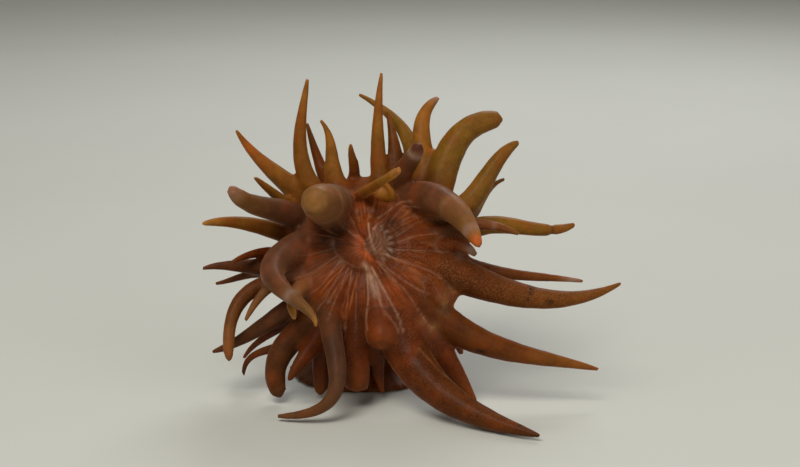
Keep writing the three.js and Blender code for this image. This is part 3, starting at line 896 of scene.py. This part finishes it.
def paint_tentacles(points):
    """Weighted mean of finishes, weight exp(-gap / BLEND) over the tentacles near a point."""
    total = np.full(len(points), 1e-4)
    colour = total[:, None] * PLAIN_FLESH
    shades = {key: np.zeros(len(points)) for key in ("reach", "film_and_sheen", "stipple")}
    least = np.full(len(points), 1.2)
    owner = np.zeros(len(points), dtype=int)
    for number, row in TENTACLES.items():
        t = np.linspace(0, 1, 70)
        line = middle_line(row, t)
        radii = tentacle_radius(row, t, LENGTHS[number])
        under, under_radii = pillow_line(row, radii[0])
        share = np.concatenate([np.linspace(-0.35, -0.01, len(under)), t])
        line = np.concatenate([under, line])
        radii = np.concatenate([under_radii, radii])
        close = near_to(line, points)
        gap, which = nearest_on(line, radii, points[close])
        weight = np.exp(-np.clip(gap, 0, 4) / BLEND)
        colour[close] += weight[:, None] * along_finish(number, share[which])
        owner[close] = np.where(gap < np.minimum(least[close], 0.6), number, owner[close])
        least[close] = np.minimum(least[close], gap)
        shades["reach"][close] += weight * share[which] * LENGTHS[number]
        shades["film_and_sheen"][close] += weight * FILM_AND_SHEEN.get(number, SLIGHT_FILM_AND_SHEEN)
        shades["stipple"][close] += weight * STIPPLE.get(number, SLIGHT_STIPPLE)
        total[close] += weight
    for key in shades:
        shades[key] /= total
    return colour / total[:, None], shades, owner, least


points = read_points(mesh)
flesh, shades, owner, off_tentacles = paint_tentacles(points)
print("mean flesh colour", flesh.mean(axis=0).round(3), "film up to",
      shades["film_and_sheen"].max().round(2))

# %% [markdown]
# ## Pale lines and marks
# Thin pale lines run over the disc where the partitions inside meet it, and some tentacles
# have a dark notch or a ring. They are drawn like a map: each line is a few places in the
# front view, and a point takes as much of the line's pale colour as it is near to it. A line
# that lies on the skin's own fine mesh follows the surface, where a texture would slide.

# %% Draw the lines of the disc
PALE_LINES = [
    (0.95, 0.12, [(0.1, -2.7), (0.3, -4.4), (0.4, -6.6), (0.1, -9.3), (0.4, -11.7)]),
    (0.95, 0.13, [(0.8, -2.9), (1.7, -4.6), (2.8, -6.6), (4.0, -8.8), (4.5, -10.6)]),
    (0.45, 0.11, [(4.5, -10.4), (4.3, -11.9), (3.0, -12.9), (1.5, -13.0), (0.4, -11.6)]),
    (0.90, 0.12, [(0.4, 2.4), (0.5, 1.3), (0.85, -0.1), (1.2, -0.9)]),
    (0.70, 0.14, [(1.0, 1.7), (1.5, 2.3), (2.0, 2.6)]),
    (0.60, 0.11, [(-2.2, 1.7), (-1.5, 1.0), (-0.9, 0.8)]),
    (0.45, 0.16, [(1.4, -6.0), (2.4, -8.6)]),
    (0.55, 0.10, [(2.4, -8.2), (3.6, -9.8), (4.3, -11.4)]),
    (0.75, 0.10, [(1.4, -2.2), (3.2, -4.2), (4.9, -5.7), (6.1, -7.6), (7.2, -9.3), (8.1, -10.3)]),
    (0.60, 0.09, [(1.6, -2.2), (4.0, -4.1), (6.6, -5.7), (9.0, -6.7)]),
    (0.50, 0.10, [(2.2, -1.3), (4.8, -2.3), (8.0, -3.4), (10.6, -5.6)]),
    (0.55, 0.09, [(3.6, -0.8), (6.6, -0.9), (10.8, -1.2), (13.2, -1.5)]),
    (0.40, 0.08, [(3.9, 0.1), (6.4, 0.9), (9.0, 1.2)]),
    (0.40, 0.08, [(3.8, 0.8), (6.0, 2.3), (8.4, 3.4)]),
    (0.55, 0.10, [(1.6, 3.0), (4.4, 5.0), (7.2, 5.0), (10.4, 4.0)]),
    (0.45, 0.09, [(0.6, 3.0), (1.2, 5.0), (2.2, 7.0)]),
    (0.50, 0.08, [(-1.6, -3.3), (-2.1, -6.7), (-2.4, -11.5)]),
    (0.40, 0.08, [(-1.0, -3.6), (-1.1, -8.0), (-1.2, -12.5)]),
    (0.45, 0.08, [(-2.0, -3.0), (-3.8, -7.4), (-4.7, -9.8)]),
    (0.45, 0.08, [(-2.5, -2.6), (-4.8, -6.8), (-5.7, -8.0)]),
    (0.55, 0.09, [(-3.0, -2.2), (-5.4, -5.3), (-7.4, -6.6)]),
    (0.45, 0.08, [(-3.4, -1.6), (-6.4, -3.6), (-8.6, -4.4)]),
    (0.35, 0.08, [(-3.6, -0.6), (-6.6, -1.4), (-9.6, -1.6)]),
    (0.30, 0.13, [(-3.9, 0.6), (-3.7, -1.0), (-2.6, -2.2), (-1.2, -2.9), (0.3, -3.1)]),
    (0.45, 0.30, [(0.15, -2.7), (0.8, -4.3), (1.3, -6.4)]),
    (0.70, 0.30, [(0.35, -3.6), (0.7, -4.6), (1.0, -5.6)]),
    (0.50, 0.10, [(4.6, 4.4), (7.4, 4.3), (9.2, 4.1), (12.2, 1.8)]),
]


def gap_to_path(spots, path, samples=60):
    """Least distance in the front view from each spot to a rounded path through places."""
    path = np.array(path)
    t = np.linspace(0, 1, samples)
    knots = np.linspace(0, 1, len(path))
    line = np.stack([np.interp(t, knots, path[:, 0]), np.interp(t, knots, path[:, 1])], axis=-1)
    line = eased(line, 8)
    gap = np.full(len(spots), np.inf)
    share = np.zeros(len(spots))
    for place, passed in zip(line, t):
        here = np.hypot(spots[:, 0] - place[0], spots[:, 1] - place[1])
        nearer = here < gap
        gap[nearer] = here[nearer]
        share[nearer] = passed
    return gap, share


front = in_front(points)
facing = (read_normals(mesh) @ TO_EYE) > 0.05
disc = np.flatnonzero(on_disc(points, 12.5, depth=1.6, stand=3.0) & facing)
pale = np.zeros(len(points))
for strength, width, path in PALE_LINES:
    gap, passed = gap_to_path(front[disc], path)
    line = strength * bell(gap, width) * (1 - 0.6 * passed)
    pale[disc] = np.maximum(pale[disc], line)
across, up, height = in_crown(points)
radius = np.hypot(across, up)
place = sector_place(np.degrees(np.arctan2(up, across)))
to_edge = (0.5 - np.abs(place % 1 - 0.5)) * 2 * np.pi * radius / len(TENTACLES)
strength_of = 0.06 + 0.22 * np.abs(np.sin(np.round(place) * 2.4))
edge_line = strength_of * bell(to_edge, 0.07) * smooth_step(2.9, 4.6, radius)
edge_line *= (1 - smooth_step(6.5, 9.5, radius)) * (0.6 + 0.8 * ripple(front, 2.4, 12))
pale = np.maximum(pale, edge_line * on_disc(points, 9.5, depth=1.2, stand=0.9))
print("points on pale lines:", int((pale > 0.2).sum()))

# %% [markdown]
# ## Marks on single tentacles
# A few tentacles carry a dark notch, a dot or a thin pale streak. A band round the tentacle
# would be too regular for these. They are short strokes, drawn in the front view like the lines
# of the disc, but kept to the near side of one tentacle by its number, so that they never spill
# onto a neighbour that crosses it.

# %% Mark single tentacles
STROKES = [
    (15, DARK, 1.00, 0.19, [(19.7, -4.6), (19.95, -5.9), (19.6, -7.0)]),
    (15, DARK, 0.90, 0.15, [(19.95, -5.8), (20.5, -5.2)]),
    (15, DARK, 0.95, 0.30, [(22.0, -7.1), (22.4, -7.1)]),
    (17, DARK, 0.90, 0.22, [(13.4, -12.9), (14.3, -13.1)]),
    (20, BEIGE, 0.45, 0.10, [(6.4, -12.6), (9.4, -15.8), (13.4, -18.6)]),
    (8, BEIGE, 0.50, 0.35, [(14.9, 12.2), (15.8, 12.4)]),
]


def stroke_on(number, path, width):
    """Bell of the distance to a path, on the near side of one tentacle only."""
    mine = np.flatnonzero((owner == number) & facing)
    amount = np.zeros(len(points))
    amount[mine] = bell(gap_to_path(front[mine], path)[0], width)
    return amount


for number, ink, strength, width, path in STROKES:
    flesh = mix_into(flesh, ink, strength * stroke_on(number, path, width))
print("strokes:", len(STROKES))

speckled = bell(np.hypot((front[:, 0] - 8.5) / 1.5, front[:, 1] + 4.0), 2.6) * facing
shades["stipple"] = np.maximum(shades["stipple"], speckled)

# %% [markdown]
# ## The colours of the mouth
# Under the skin of the lips lies the gullet, and its colour shows: an orange-pink lip on one
# side and a grey-pink rosette on the other. Round them the disc is painted darker: a ring of
# shade in the moat, a shadow left of the mouth and a darker spot up and right of it. The folds
# made above set the pattern: the crests are paler and the grooves between them are painted
# darker as shade.

# %% Colour the mouth
# Dark paint for painted shade in the moat, the lips' grooves and the slit, for a painted shadow left
# of the mouth, and for a darker spot up and right of it.
MOUTH_DARK = srgb(40, 16, 7)
LIP_ORANGE = srgb(196, 96, 38)
LIP_RED = srgb(112, 42, 14)
LIP_GREY = srgb(112, 76, 54)
LIP_PALE = srgb(166, 122, 94)
LIP_WHITE = srgb(166, 144, 130)
DISC_RED = srgb(142, 56, 10)
DISC_BROWN = srgb(118, 52, 11)

along, off, oval = mouth_places(front)[:3]
inside, arcs = rosette_places(front)[:2]
face = on_disc(points, 9.0, depth=1.6, stand=1.4)
blotch = ripple(points, 5.0, 3)
flesh = mix_into(flesh, DISC_RED, 0.5 * face * (1 - smooth_step(6.0, 9.0, radius)))
flesh = mix_into(flesh, DISC_BROWN, face * (0.35 + 0.5 * blotch) * (radius < 9.0))
# Painted shadow left of the mouth, a darker spot up and right of it, and a ring of painted shade in
# the moat round the lips.
shadow_left = bell(np.hypot((front[:, 0] + 4.0) / 1.2, (front[:, 1] - 0.5) / 1.2), 1.6)
dark_right = bell(np.hypot((front[:, 0] - 3.1) / 1.3, front[:, 1] - 2.3), 0.95)
moat_shade = bell(oval - 3.2, 0.8) * (0.30 + 0.25 * ripple(front, 2.0, 4))
flesh = mix_into(flesh, MOUTH_DARK, face * np.maximum(moat_shade, 0.92 * np.maximum(shadow_left, dark_right)))
folds = 0.5 + 0.5 * puckers(front)
lip = (1 - smooth_step(1.4, 2.6, oval + 0.35 * folds)) * face
flesh = mix_into(flesh, LIP_RED, 0.85 * lip)
left_lip = lip * smooth_step(-0.1, 0.3, off)
# Painted shade in the grooves between the left lip's folds; the crests take more orange.
flesh = mix_into(flesh, MOUTH_DARK, 0.75 * left_lip * (1 - folds) ** 2 * smooth_step(0.5, 1.3, oval))
flesh = mix_into(flesh, LIP_ORANGE, left_lip * (0.30 + 0.55 * folds) * 0.75 * bell(oval - 1.1, 0.9))
band = bell(off - 0.42, 0.26) * bell(along + 0.5, 1.7) * face
flesh = mix_into(flesh, LIP_ORANGE, band * (0.75 + 0.25 * ripple(front, 0.7, 6)))
flesh = mix_into(flesh, LIP_GREY, 0.85 * inside * face)
# The rosette's arcs: paler on their crests, with the grooves between them painted redder and darker
# as shade.
flesh = mix_into(flesh, LIP_PALE, 0.42 * inside * np.clip(arcs, 0, 1) * face)
flesh = mix_into(flesh, LIP_RED, 0.45 * inside * np.clip(-arcs, 0, 1) * face)
flesh = mix_into(flesh, LIP_WHITE, 0.95 * frill_of(front) * face)
# Painted shade in the slit between the lips.
flesh = mix_into(flesh, MOUTH_DARK, 0.35 * bell(off, 0.12) * bell(along - 0.3, 1.3) * face)
white_spot = bell(np.hypot(front[:, 0] + 0.1, front[:, 1] + 2.6), 0.42) * face
pale = np.maximum(pale, 0.55 * white_spot * facing)
print("mouth colours on", int((oval[face] < 3).sum()), "points")

# %% [markdown]
# ## Patches, and the skin of the column
# Chalky and beige patches lie on the disc, where the skin is thick or a little slime clings to
# it. Each is one soft spot with an uneven strength. The column has no tentacle near it to take
# a colour from, so it is painted as a wall of its own: brown, and tan just above the foot.

# %% Lay the patches and paint the column
WALL_BROWN = srgb(98, 48, 19)
WALL_TAN = srgb(132, 80, 42)
PATCHES = [
    (-3.9, 0.0, 0.32, CHALK, 0.55),
    (-2.6, 1.9, 0.32, CHALK, 0.50),
    (-2.8, -2.2, 0.25, CHALK, 0.50),
    (0.3, -3.1, 0.36, CHALK, 0.90),
    (0.70, -4.1, 0.50, CHALK, 0.95),
    (1.10, -5.1, 0.65, CHALK, 0.85),
    (1.40, -6.1, 0.60, CHALK, 0.55),
    (9.6, -7.7, 0.9, BEIGE, 0.60),
    (8.2, -10.2, 0.8, BEIGE, 0.45),
    (10.3, -5.7, 0.9, BEIGE, 0.45),
    (13.2, -0.9, 0.5, CHALK, 0.60),
    (11.4, -1.6, 0.45, CHALK, 0.45),
    (7.0, -9.4, 0.5, BEIGE, 0.50),
    # A patch of painted glow, standing in for light shining through thin flesh.
    (7.8, 11.2, 0.35, PAINTED_GLOW, 0.45),
]
uneven = 0.85 + 0.5 * ripple(front, 0.55, 15)
for at_across, at_up, width, ink, strength in PATCHES:
    away = np.hypot(front[:, 0] - at_across, front[:, 1] - at_up)
    flesh = mix_into(flesh, ink, strength * uneven * bell(away, width) * facing)
wall = smooth_step(0.2, 0.9, off_tentacles) * (1 - face)
flesh = mix_into(flesh, WALL_BROWN, 0.8 * wall)
flesh = mix_into(flesh, WALL_TAN, wall * (0.6 * bell(points[:, 2], 1.1) + 0.25 * blotch))
print("patches:", len(PATCHES), "and points on the column:", int((wall > 0.5).sum()))

# %% [markdown]
# ## The skin's object
# The mesh now goes from millimetres to metres, in the frame's own place, and takes its
# attributes with it. The object itself stays at the origin, unturned. It rides on the root
# body and stands for every solid of flesh, because they are all this one skin.

# %% Make the skin a piece
SPOKES_ROUND = 8.0
SPOKES_ALONG = 0.13


def keep_value(mesh, name, values):
    """A number at every point, which a material can read by name."""
    layer = mesh.attributes.new(name, "FLOAT", "POINT")
    layer.data.foreach_set("value", np.asarray(values, dtype=np.float32))


def keep_vector(mesh, name, vectors):
    """Three numbers at every point."""
    layer = mesh.attributes.new(name, "FLOAT_VECTOR", "POINT")
    layer.data.foreach_set("vector", np.asarray(vectors, dtype=np.float32).ravel())


def keep_colour(mesh, name, colours):
    """A colour in linear light at every point."""
    layer = mesh.attributes.new(name, "FLOAT_COLOR", "POINT")
    full = np.hstack([np.clip(colours, 0, 1), np.ones((len(colours), 1))])
    layer.data.foreach_set("color", full.astype(np.float32).ravel())


points = read_points(mesh)
points[:, 2] = np.maximum(points[:, 2], 0)
mesh.vertices.foreach_set("co", (points * MM).ravel())
mesh.shade_smooth()
keep_colour(mesh, "flesh", flesh)
keep_value(mesh, "pale", pale)
for key, values in shades.items():
    keep_value(mesh, key, values)
on_face = (oval > 2.6) * face * (1 - smooth_step(6.0, 9.5, radius))
keep_value(mesh, "streaked", np.maximum(on_face, 0.8 * wall))
round_way = np.stack([across, up], axis=1) / np.maximum(radius, 0.3)[:, None]
round_face = np.column_stack([round_way * SPOKES_ROUND, radius * SPOKES_ALONG])
stem = column.mean(axis=1)[::-1]
stem_x = np.interp(points[:, 2], stem[:, 2], stem[:, 0])
stem_y = np.interp(points[:, 2], stem[:, 2], stem[:, 1])
off_stem = points[:, :2] - np.stack([stem_x, stem_y], axis=1)
off_stem /= np.maximum(np.linalg.norm(off_stem, axis=1), 0.3)[:, None]
round_stem = np.column_stack([off_stem * SPOKES_ROUND, points[:, 2] * SPOKES_ALONG])
keep_vector(mesh, "spokes", np.where(wall[:, None] > 0.02, round_stem, round_face))
skin = bpy.data.objects.new("anemone_skin", mesh)
bpy.context.scene.collection.objects.link(skin)
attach(skin, "root")
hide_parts(*FLESH_NODES)
print("skin from", points.min(axis=0).round(1), "to", points.max(axis=0).round(1), "mm")

# %% [markdown]
# ## A short way to write materials
# A material is a tree of nodes. It can be joined up by hand in the node editor, but then
# nobody can read how it was made. In a script each node takes several lines, so this small
# class makes a node, sets its inputs and joins it in one call. It also names what the flesh
# needs most: soft noise of a given size, a ramp, a mix, and a value kept in the mesh.

# %% Helpers for node trees
class Nodes:
    """A material's node tree with short ways to add and join nodes."""

    def __init__(self, name):
        """A new material with its one shader."""
        self.material = bpy.data.materials.new(name)
        self.material.use_nodes = True
        self.tree = self.material.node_tree
        self.shader = self.tree.nodes["Principled BSDF"]

    def add(self, kind, out=0, settings=(), **inputs):
        """One node; inputs are numbers, colours or sockets, named or as in_0, in_1."""
        node = self.tree.nodes.new(kind)
        for key, value in dict(settings).items():
            setattr(node, key, value)
        for key, value in inputs.items():
            place = int(key[3:]) if key.startswith("in_") else key.replace("_", " ")
            self.put(node.inputs[place], value)
        return node.outputs[out]

    def put(self, socket, value):
        """Joins a socket to another, or sets its number."""
        if isinstance(value, bpy.types.NodeSocket):
            self.tree.links.new(value, socket)
        else:
            socket.default_value = value

    def math(self, operation, first, second=0.0):
        """first (operation) second"""
        settings = {"operation": operation}
        return self.add("ShaderNodeMath", settings=settings, in_0=first, in_1=second)

    def ramp(self, value, low, high, start=0.0, end=1.0):
        """start up to low, end from high on, and a straight line between."""
        return self.add("ShaderNodeMapRange", in_0=value, in_1=low, in_2=high, in_3=start,
                        in_4=end)

    def mix(self, amount, first, second, blend="MIX"):
        """Two colours mixed or blended by an amount."""
        settings = {"data_type": "RGBA", "blend_type": blend}
        return self.add("ShaderNodeMix", 2, settings, in_0=amount, in_6=first, in_7=second)

    def value_of(self, name):
        """A number kept in the mesh under this name."""
        return self.add("ShaderNodeAttribute", 2, {"attribute_name": name})

    def colour_of(self, name):
        """A colour kept in the mesh under this name."""
        return self.add("ShaderNodeAttribute", 0, {"attribute_name": name})

    def place_of(self, name):
        """Three numbers kept in the mesh under this name."""
        return self.add("ShaderNodeAttribute", 1, {"attribute_name": name})

    def noise(self, where, size, detail=2.0, rough=0.5, bend=0.0):
        """Soft noise whose patches are about size metres wide."""
        return self.add("ShaderNodeTexNoise", Vector=where, Scale=0.7 / size, Detail=detail,
                        Roughness=rough, Distortion=bend)


def paint(red, green, blue):
    """A colour picked on screen as the four numbers a socket takes."""
    return (*srgb(red, green, blue), 1.0)


# %% [markdown]
# ## The flesh
# The flesh is a jelly that light enters and leaves again some way off, so thick parts glow
# and edges look thin and pale. Glass with real absorption inside would be slow and noisy, so
# light scattered just under the surface stands in for it, with a little sheen for the pale
# edge. The colour from the attributes is broken up three times: by clouds some millimetres
# wide, by fine mottling, and by a stipple of pale specks. All of it is procedural and reads
# Object coordinates, so it stays on the skin from every side.

# %% Mix the flesh
def flesh_material():
    """Attribute colours x clouds x mottling, then mauve skin and painted sheen, specks, notches and
    pale lines.
    """
    n = Nodes("soft_flesh")
    here = n.add("ShaderNodeTexCoord", 3)
    clouds = n.noise(here, 0.0040, 3.0, 0.55, 0.4)
    mottle = n.noise(here, 0.0009, 3.0, 0.6)
    grain = n.noise(here, 0.00028, 2.0, 0.6)
    colour = n.colour_of("flesh")
    colour = n.mix(1.0, colour, n.ramp(clouds, 0.3, 0.7, 0.72, 1.28), "MULTIPLY")
    colour = n.mix(1.0, colour, n.ramp(mottle, 0.3, 0.7, 0.80, 1.20), "MULTIPLY")
    warm = n.ramp(n.noise(here, 0.0022, 2.0), 0.50, 0.68, 0.0, 0.35)
    colour = n.mix(warm, colour, paint(142, 62, 12))

    spokes = n.add("ShaderNodeTexNoise", Vector=n.place_of("spokes"), Scale=1.6, Detail=3.0,
                   Roughness=0.6)
    on_face = n.value_of("streaked")
    streak = n.mix(on_face, (1.0, 1.0, 1.0, 1.0), n.ramp(spokes, 0.32, 0.68, 0.66, 1.30))
    colour = n.mix(1.0, colour, streak, "MULTIPLY")
    hair = n.math("MULTIPLY", n.ramp(spokes, 0.58, 0.64), on_face)
    colour = n.mix(n.math("MULTIPLY", hair, 0.42), colour, paint(164, 108, 66))

    # Grey-mauve layer: partly the skin's own translucent colour, partly a painted sheen of reflected
    # light.
    film_and_sheen = n.math("MULTIPLY", n.value_of("film_and_sheen"), n.ramp(clouds, 0.34, 0.62, 0.15, 0.62))
    colour = n.mix(film_and_sheen, colour, paint(112, 80, 62))

    speck = n.add("ShaderNodeTexVoronoi", Vector=here, Scale=5200.0, Randomness=1.0)
    speck = n.ramp(speck, 0.20, 0.55, 1.0, 0.0)
    patch = n.ramp(n.noise(here, 0.0016, 2.0), 0.36, 0.58, 0.45, 1.0)
    speck_amount = n.math("MULTIPLY", speck, n.math("MULTIPLY", patch, n.value_of("stipple")))
    colour = n.mix(n.math("MULTIPLY", speck_amount, 0.62), colour, paint(150, 96, 48))

    wrinkle = n.math("ADD", n.math("MULTIPLY", n.value_of("reach"), 11.0),
                     n.math("MULTIPLY", mottle, 11.0))
    wrinkle = n.ramp(n.math("SINE", wrinkle), -1.0, 1.0)
    colour = n.mix(1.0, colour, n.ramp(wrinkle, 0.0, 1.0, 0.995, 1.005), "MULTIPLY")

    broken = n.math("MULTIPLY", n.value_of("pale"), n.ramp(mottle, 0.32, 0.56, 0.35, 1.0))
    colour = n.mix(broken, colour, paint(182, 140, 112))

    height = n.math("ADD", n.math("MULTIPLY", speck_amount, 0.5), n.math("MULTIPLY", grain, 0.7))
    height = n.math("ADD", height, n.math("MULTIPLY", wrinkle, 0.02))
    height = n.math("ADD", height, n.math("MULTIPLY", mottle, 0.9))
    bump = n.add("ShaderNodeBump", Strength=0.55, Distance=0.00009, Height=height)
    n.put(n.shader.inputs["Base Color"], colour)
    n.put(n.shader.inputs["Normal"], bump)
    n.put(n.shader.inputs["Roughness"], n.ramp(mottle, 0.3, 0.7, 0.40, 0.60))
    n.shader.inputs["Subsurface Weight"].default_value = 0.40
    n.shader.inputs["Subsurface Radius"].default_value = (1.0, 0.46, 0.16)
    n.shader.inputs["Subsurface Scale"].default_value = 0.0005
    n.shader.inputs["Sheen Weight"].default_value = 0.36
    n.shader.inputs["Sheen Roughness"].default_value = 0.22
    n.shader.inputs["Sheen Tint"].default_value = (1.0, 0.52, 0.22, 1.0)
    n.shader.inputs["Coat Weight"].default_value = 0.03
    n.shader.inputs["Coat Roughness"].default_value = 0.20
    n.shader.inputs["IOR"].default_value = 1.38
    n.shader.inputs["Specular IOR Level"].default_value = 0.14
    return n.material


soft_flesh = flesh_material()
mesh.materials.append(soft_flesh)
print("nodes in the flesh:", len(soft_flesh.node_tree.nodes))

# %% [markdown]
# ## The floor
# A plain pale floor curves up far behind, so that no edge shows. A flat sheet and a wall
# would meet in a visible line, so the two are joined by a quarter of a circle. The floor
# itself is the height 0 that the foot and the lowest tentacles rest on.

# %% Make the stage
FLOOR_NEAR = -2.0
FLOOR_FAR = 0.6
FLOOR_HALF = 3.0
SWEEP = 0.5
WALL_TOP = 2.5


def floor_sweep():
    """Height 0 in front, then a quarter circle of radius 0.5 m, then straight up."""
    turn = np.linspace(0, np.pi / 2, 24)
    depth = np.concatenate([[FLOOR_NEAR], FLOOR_FAR + SWEEP * np.sin(turn), [FLOOR_FAR + SWEEP]])
    height = np.concatenate([[0.0], SWEEP - SWEEP * np.cos(turn), [WALL_TOP]])
    width = np.array([-FLOOR_HALF, FLOOR_HALF])
    grid = np.stack(np.broadcast_arrays(width[None, :], depth[:, None], height[:, None]), -1)
    here = np.arange(0, 2 * (len(depth) - 1), 2)
    faces = np.stack([here, here + 1, here + 3, here + 2], axis=1)
    return grid.reshape(-1, 3), faces


def floor_material():
    """A matt pale grey with a very faint unevenness."""
    n = Nodes("pale_floor")
    here = n.add("ShaderNodeTexCoord", 3)
    faint = n.ramp(n.noise(here, 0.05, 3.0), 0.3, 0.7, 0.96, 1.0)
    n.put(n.shader.inputs["Base Color"], n.mix(1.0, paint(206, 208, 202), faint, "MULTIPLY"))
    n.shader.inputs["Roughness"].default_value = 0.8
    return n.material


floor_points, floor_faces = floor_sweep()
floor_mesh = new_mesh("floor", floor_points, [floor_faces])
floor_mesh.shade_smooth()
floor_mesh.materials.append(floor_material())
floor = bpy.data.objects.new("floor", floor_mesh)
bpy.context.scene.collection.objects.link(floor)

# %% [markdown]
# ## Lights and camera
# A large lamp above and in front gives soft shadows, a weaker one opens up the right side, and
# a third behind draws the outline of the tentacles. The camera looks down on the mouth by 14
# degrees, from six times the animal's height away and with a long lens, so near and far
# tentacles keep nearly the same scale. Its frame is moved a little sideways and up.

# %% Place the lights and the camera
ANIMAL_MIDDLE = (0.002, -0.006, 0.016)
FRAME_WIDTH = 800
FRAME_RIGHT = 35
FRAME_UP = 9.5


def soft_light(name, place, watts, width, colour=(1.0, 1.0, 1.0)):
    """A square lamp of this width that faces the middle of the animal."""
    lamp = bpy.data.lights.new(name, "AREA")
    lamp.energy = watts
    lamp.size = width
    lamp.color = colour
    thing = bpy.data.objects.new(name, lamp)
    thing.location = place
    way = mathutils.Vector(ANIMAL_MIDDLE) - thing.location
    thing.rotation_euler = way.to_track_quat("-Z", "Y").to_euler()
    bpy.context.scene.collection.objects.link(thing)


soft_light("main_light", (-0.10, -0.22, 0.34), 1.0, 0.20, (1.0, 0.95, 0.86))
soft_light("side_light", (0.26, -0.20, 0.16), 0.22, 0.20, (1.0, 0.96, 0.90))
soft_light("back_light", (0.08, 0.26, 0.26), 0.5, 0.16)
world = bpy.data.worlds.new("soft_sky")
world.use_nodes = True
world.node_tree.nodes["Background"].inputs["Color"].default_value = (0.95, 0.93, 0.88, 1.0)
world.node_tree.nodes["Background"].inputs["Strength"].default_value = 0.20
bpy.context.scene.world = world
bpy.context.scene.view_settings.view_transform = "Standard"

lens = bpy.data.cameras.new("camera")
lens.lens = 85
lens.sensor_width = 36
lens.shift_x = FRAME_RIGHT / FRAME_WIDTH
lens.shift_y = FRAME_UP / FRAME_WIDTH
lens.clip_start = 0.01
camera = bpy.data.objects.new("camera", lens)
camera.location = (MOUTH + TO_EYE * VIEW_REACH) * MM
camera.rotation_euler = (math.pi / 2 - VIEW_DOWN, 0, 0)
bpy.context.scene.collection.objects.link(camera)
bpy.context.scene.camera = camera
print("camera height", round(camera.location.z * 1000), "mm")
